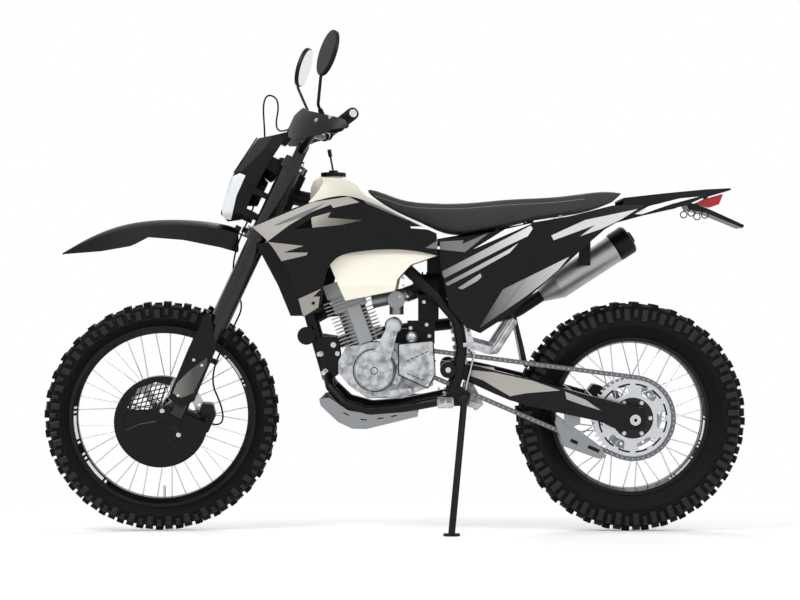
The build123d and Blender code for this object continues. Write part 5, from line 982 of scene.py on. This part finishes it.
# Mirrors: silvered glass set in the faces of the moulded heads, toward the rider.
# Each glass is an oval of 122 by 79 mm, turned 25 degrees from square to the bars.
GLASS_RADII = (61.0, 39.5)
silvered = material("Glass, silvered behind", "#E4E8EC", 0.03, 1.0)
glass = bmesh.new()
for hand, x in ((-1, -70.0), (1, -120.0)):
    turn = Matrix.Rotation(math.radians(-hand * 25), 4, "Z") @ Matrix.Rotation(math.radians(82), 4, "Y")
    at = Matrix.Translation((x, hand * 323.0, 1168.1)) @ turn
    oval = Matrix.Translation((0, 0, 7.0)) @ Matrix.Diagonal((*GLASS_RADII, 1.0, 1.0))
    bmesh.ops.create_cone(glass, cap_ends=True, segments=48, radius1=1.0, radius2=1.0, depth=0.8,
                          matrix=at @ oval)
piece("mirror_glass", glass, FORK, "steering", silvered)

# Lights: a clear lens in front of a white reflector bowl, in a moulded bucket, and a red tail lens.
# The screen above is a smoked sheet, thermoformed, with its edges left raw.
LENS_SIDE = ((-179, 733), (-154, 763), (-136, 764), (-135, 699), (-120, 626), (-145, 618), (-171, 682))
SCREEN_SIDE = ((-169, 756), (-150, 881), (-113, 906), (-119, 859), (-151, 772))
# The reflector makes the clear lens look white from outside. All three plastics are glossy.
clear_lens = material("Polycarbonate, clear moulded, reflector behind", "#E9ECEF", 0.08)
dress("headlight", clear_lens)
smoke = material("Polycarbonate, smoke grey sheet", "#1D1E20", 0.08, specular=0.4)
dress("windscreen", smoke)
red_lens = material("Acrylic, moulded red", "#B3101A", 0.12)
dress("tail_light", red_lens)
bucket = bmesh.new()
add_rod(bucket, (-128, 0, 735), (-66, 0, 735), 68.0, 48, 40.0)
add_rod(bucket, (-100, -40, 800), (-60, -62, 790), 14.0, 16)
add_box(bucket, (-112, -52, 800), (-52, 52, 850))
add_box(bucket, (-96, -46, 640), (-62, 46, 676))
piece("headlamp_bucket", bucket, FORK, "steering", black_plastic)
for hand, side in ((-1, "left"), (1, "right")):
    decal("lens_side_" + side, "headlight_mask", FORK, LENS_SIDE, hand, "steering", clear_lens, FILM)
    decal("screen_side_" + side, "headlight_mask", FORK, SCREEN_SIDE, hand, "steering", smoke, FILM)

# Frame hardware: flanged bolts of the engine plates and the seat, and a thin link rod down to the
# small wheel by the foot peg. All of it is zinc plated steel.
frame_bolts = bmesh.new()
for x, z in ((-230, 534), (-175, 536), (-217, 478)):
    add_bolt(frame_bolts, (x, -60, z), LEFT, 5.0)
for hand in (-1, 1):
    add_bolt(frame_bolts, (489, hand * 96, 941), (0, hand, 0), 5.0)
add_rod(frame_bolts, (235, -98, 542), (207, -98, 430), 3.2, 12)
add_rod(frame_bolts, (203, -92, 407), (203, -104, 407), 15.0, 24)
add_bolt(frame_bolts, (203, -104, 407), LEFT, 5.0)
piece("frame_bolts", frame_bolts, MACHINE, "chassis", zinc)

# Luggage loops: rings of bent steel wire for a strap, two on each side under the tail.
# They are coated like the frame.
loops = bmesh.new()
for centre in ((884, 957), (925, 951)):
    for y in (-58, 58):
        add_ring(loops, centre, 10.0, y, 1.7, 18, 8)
piece("luggage_loops", loops, MACHINE, "chassis", powder_coat)
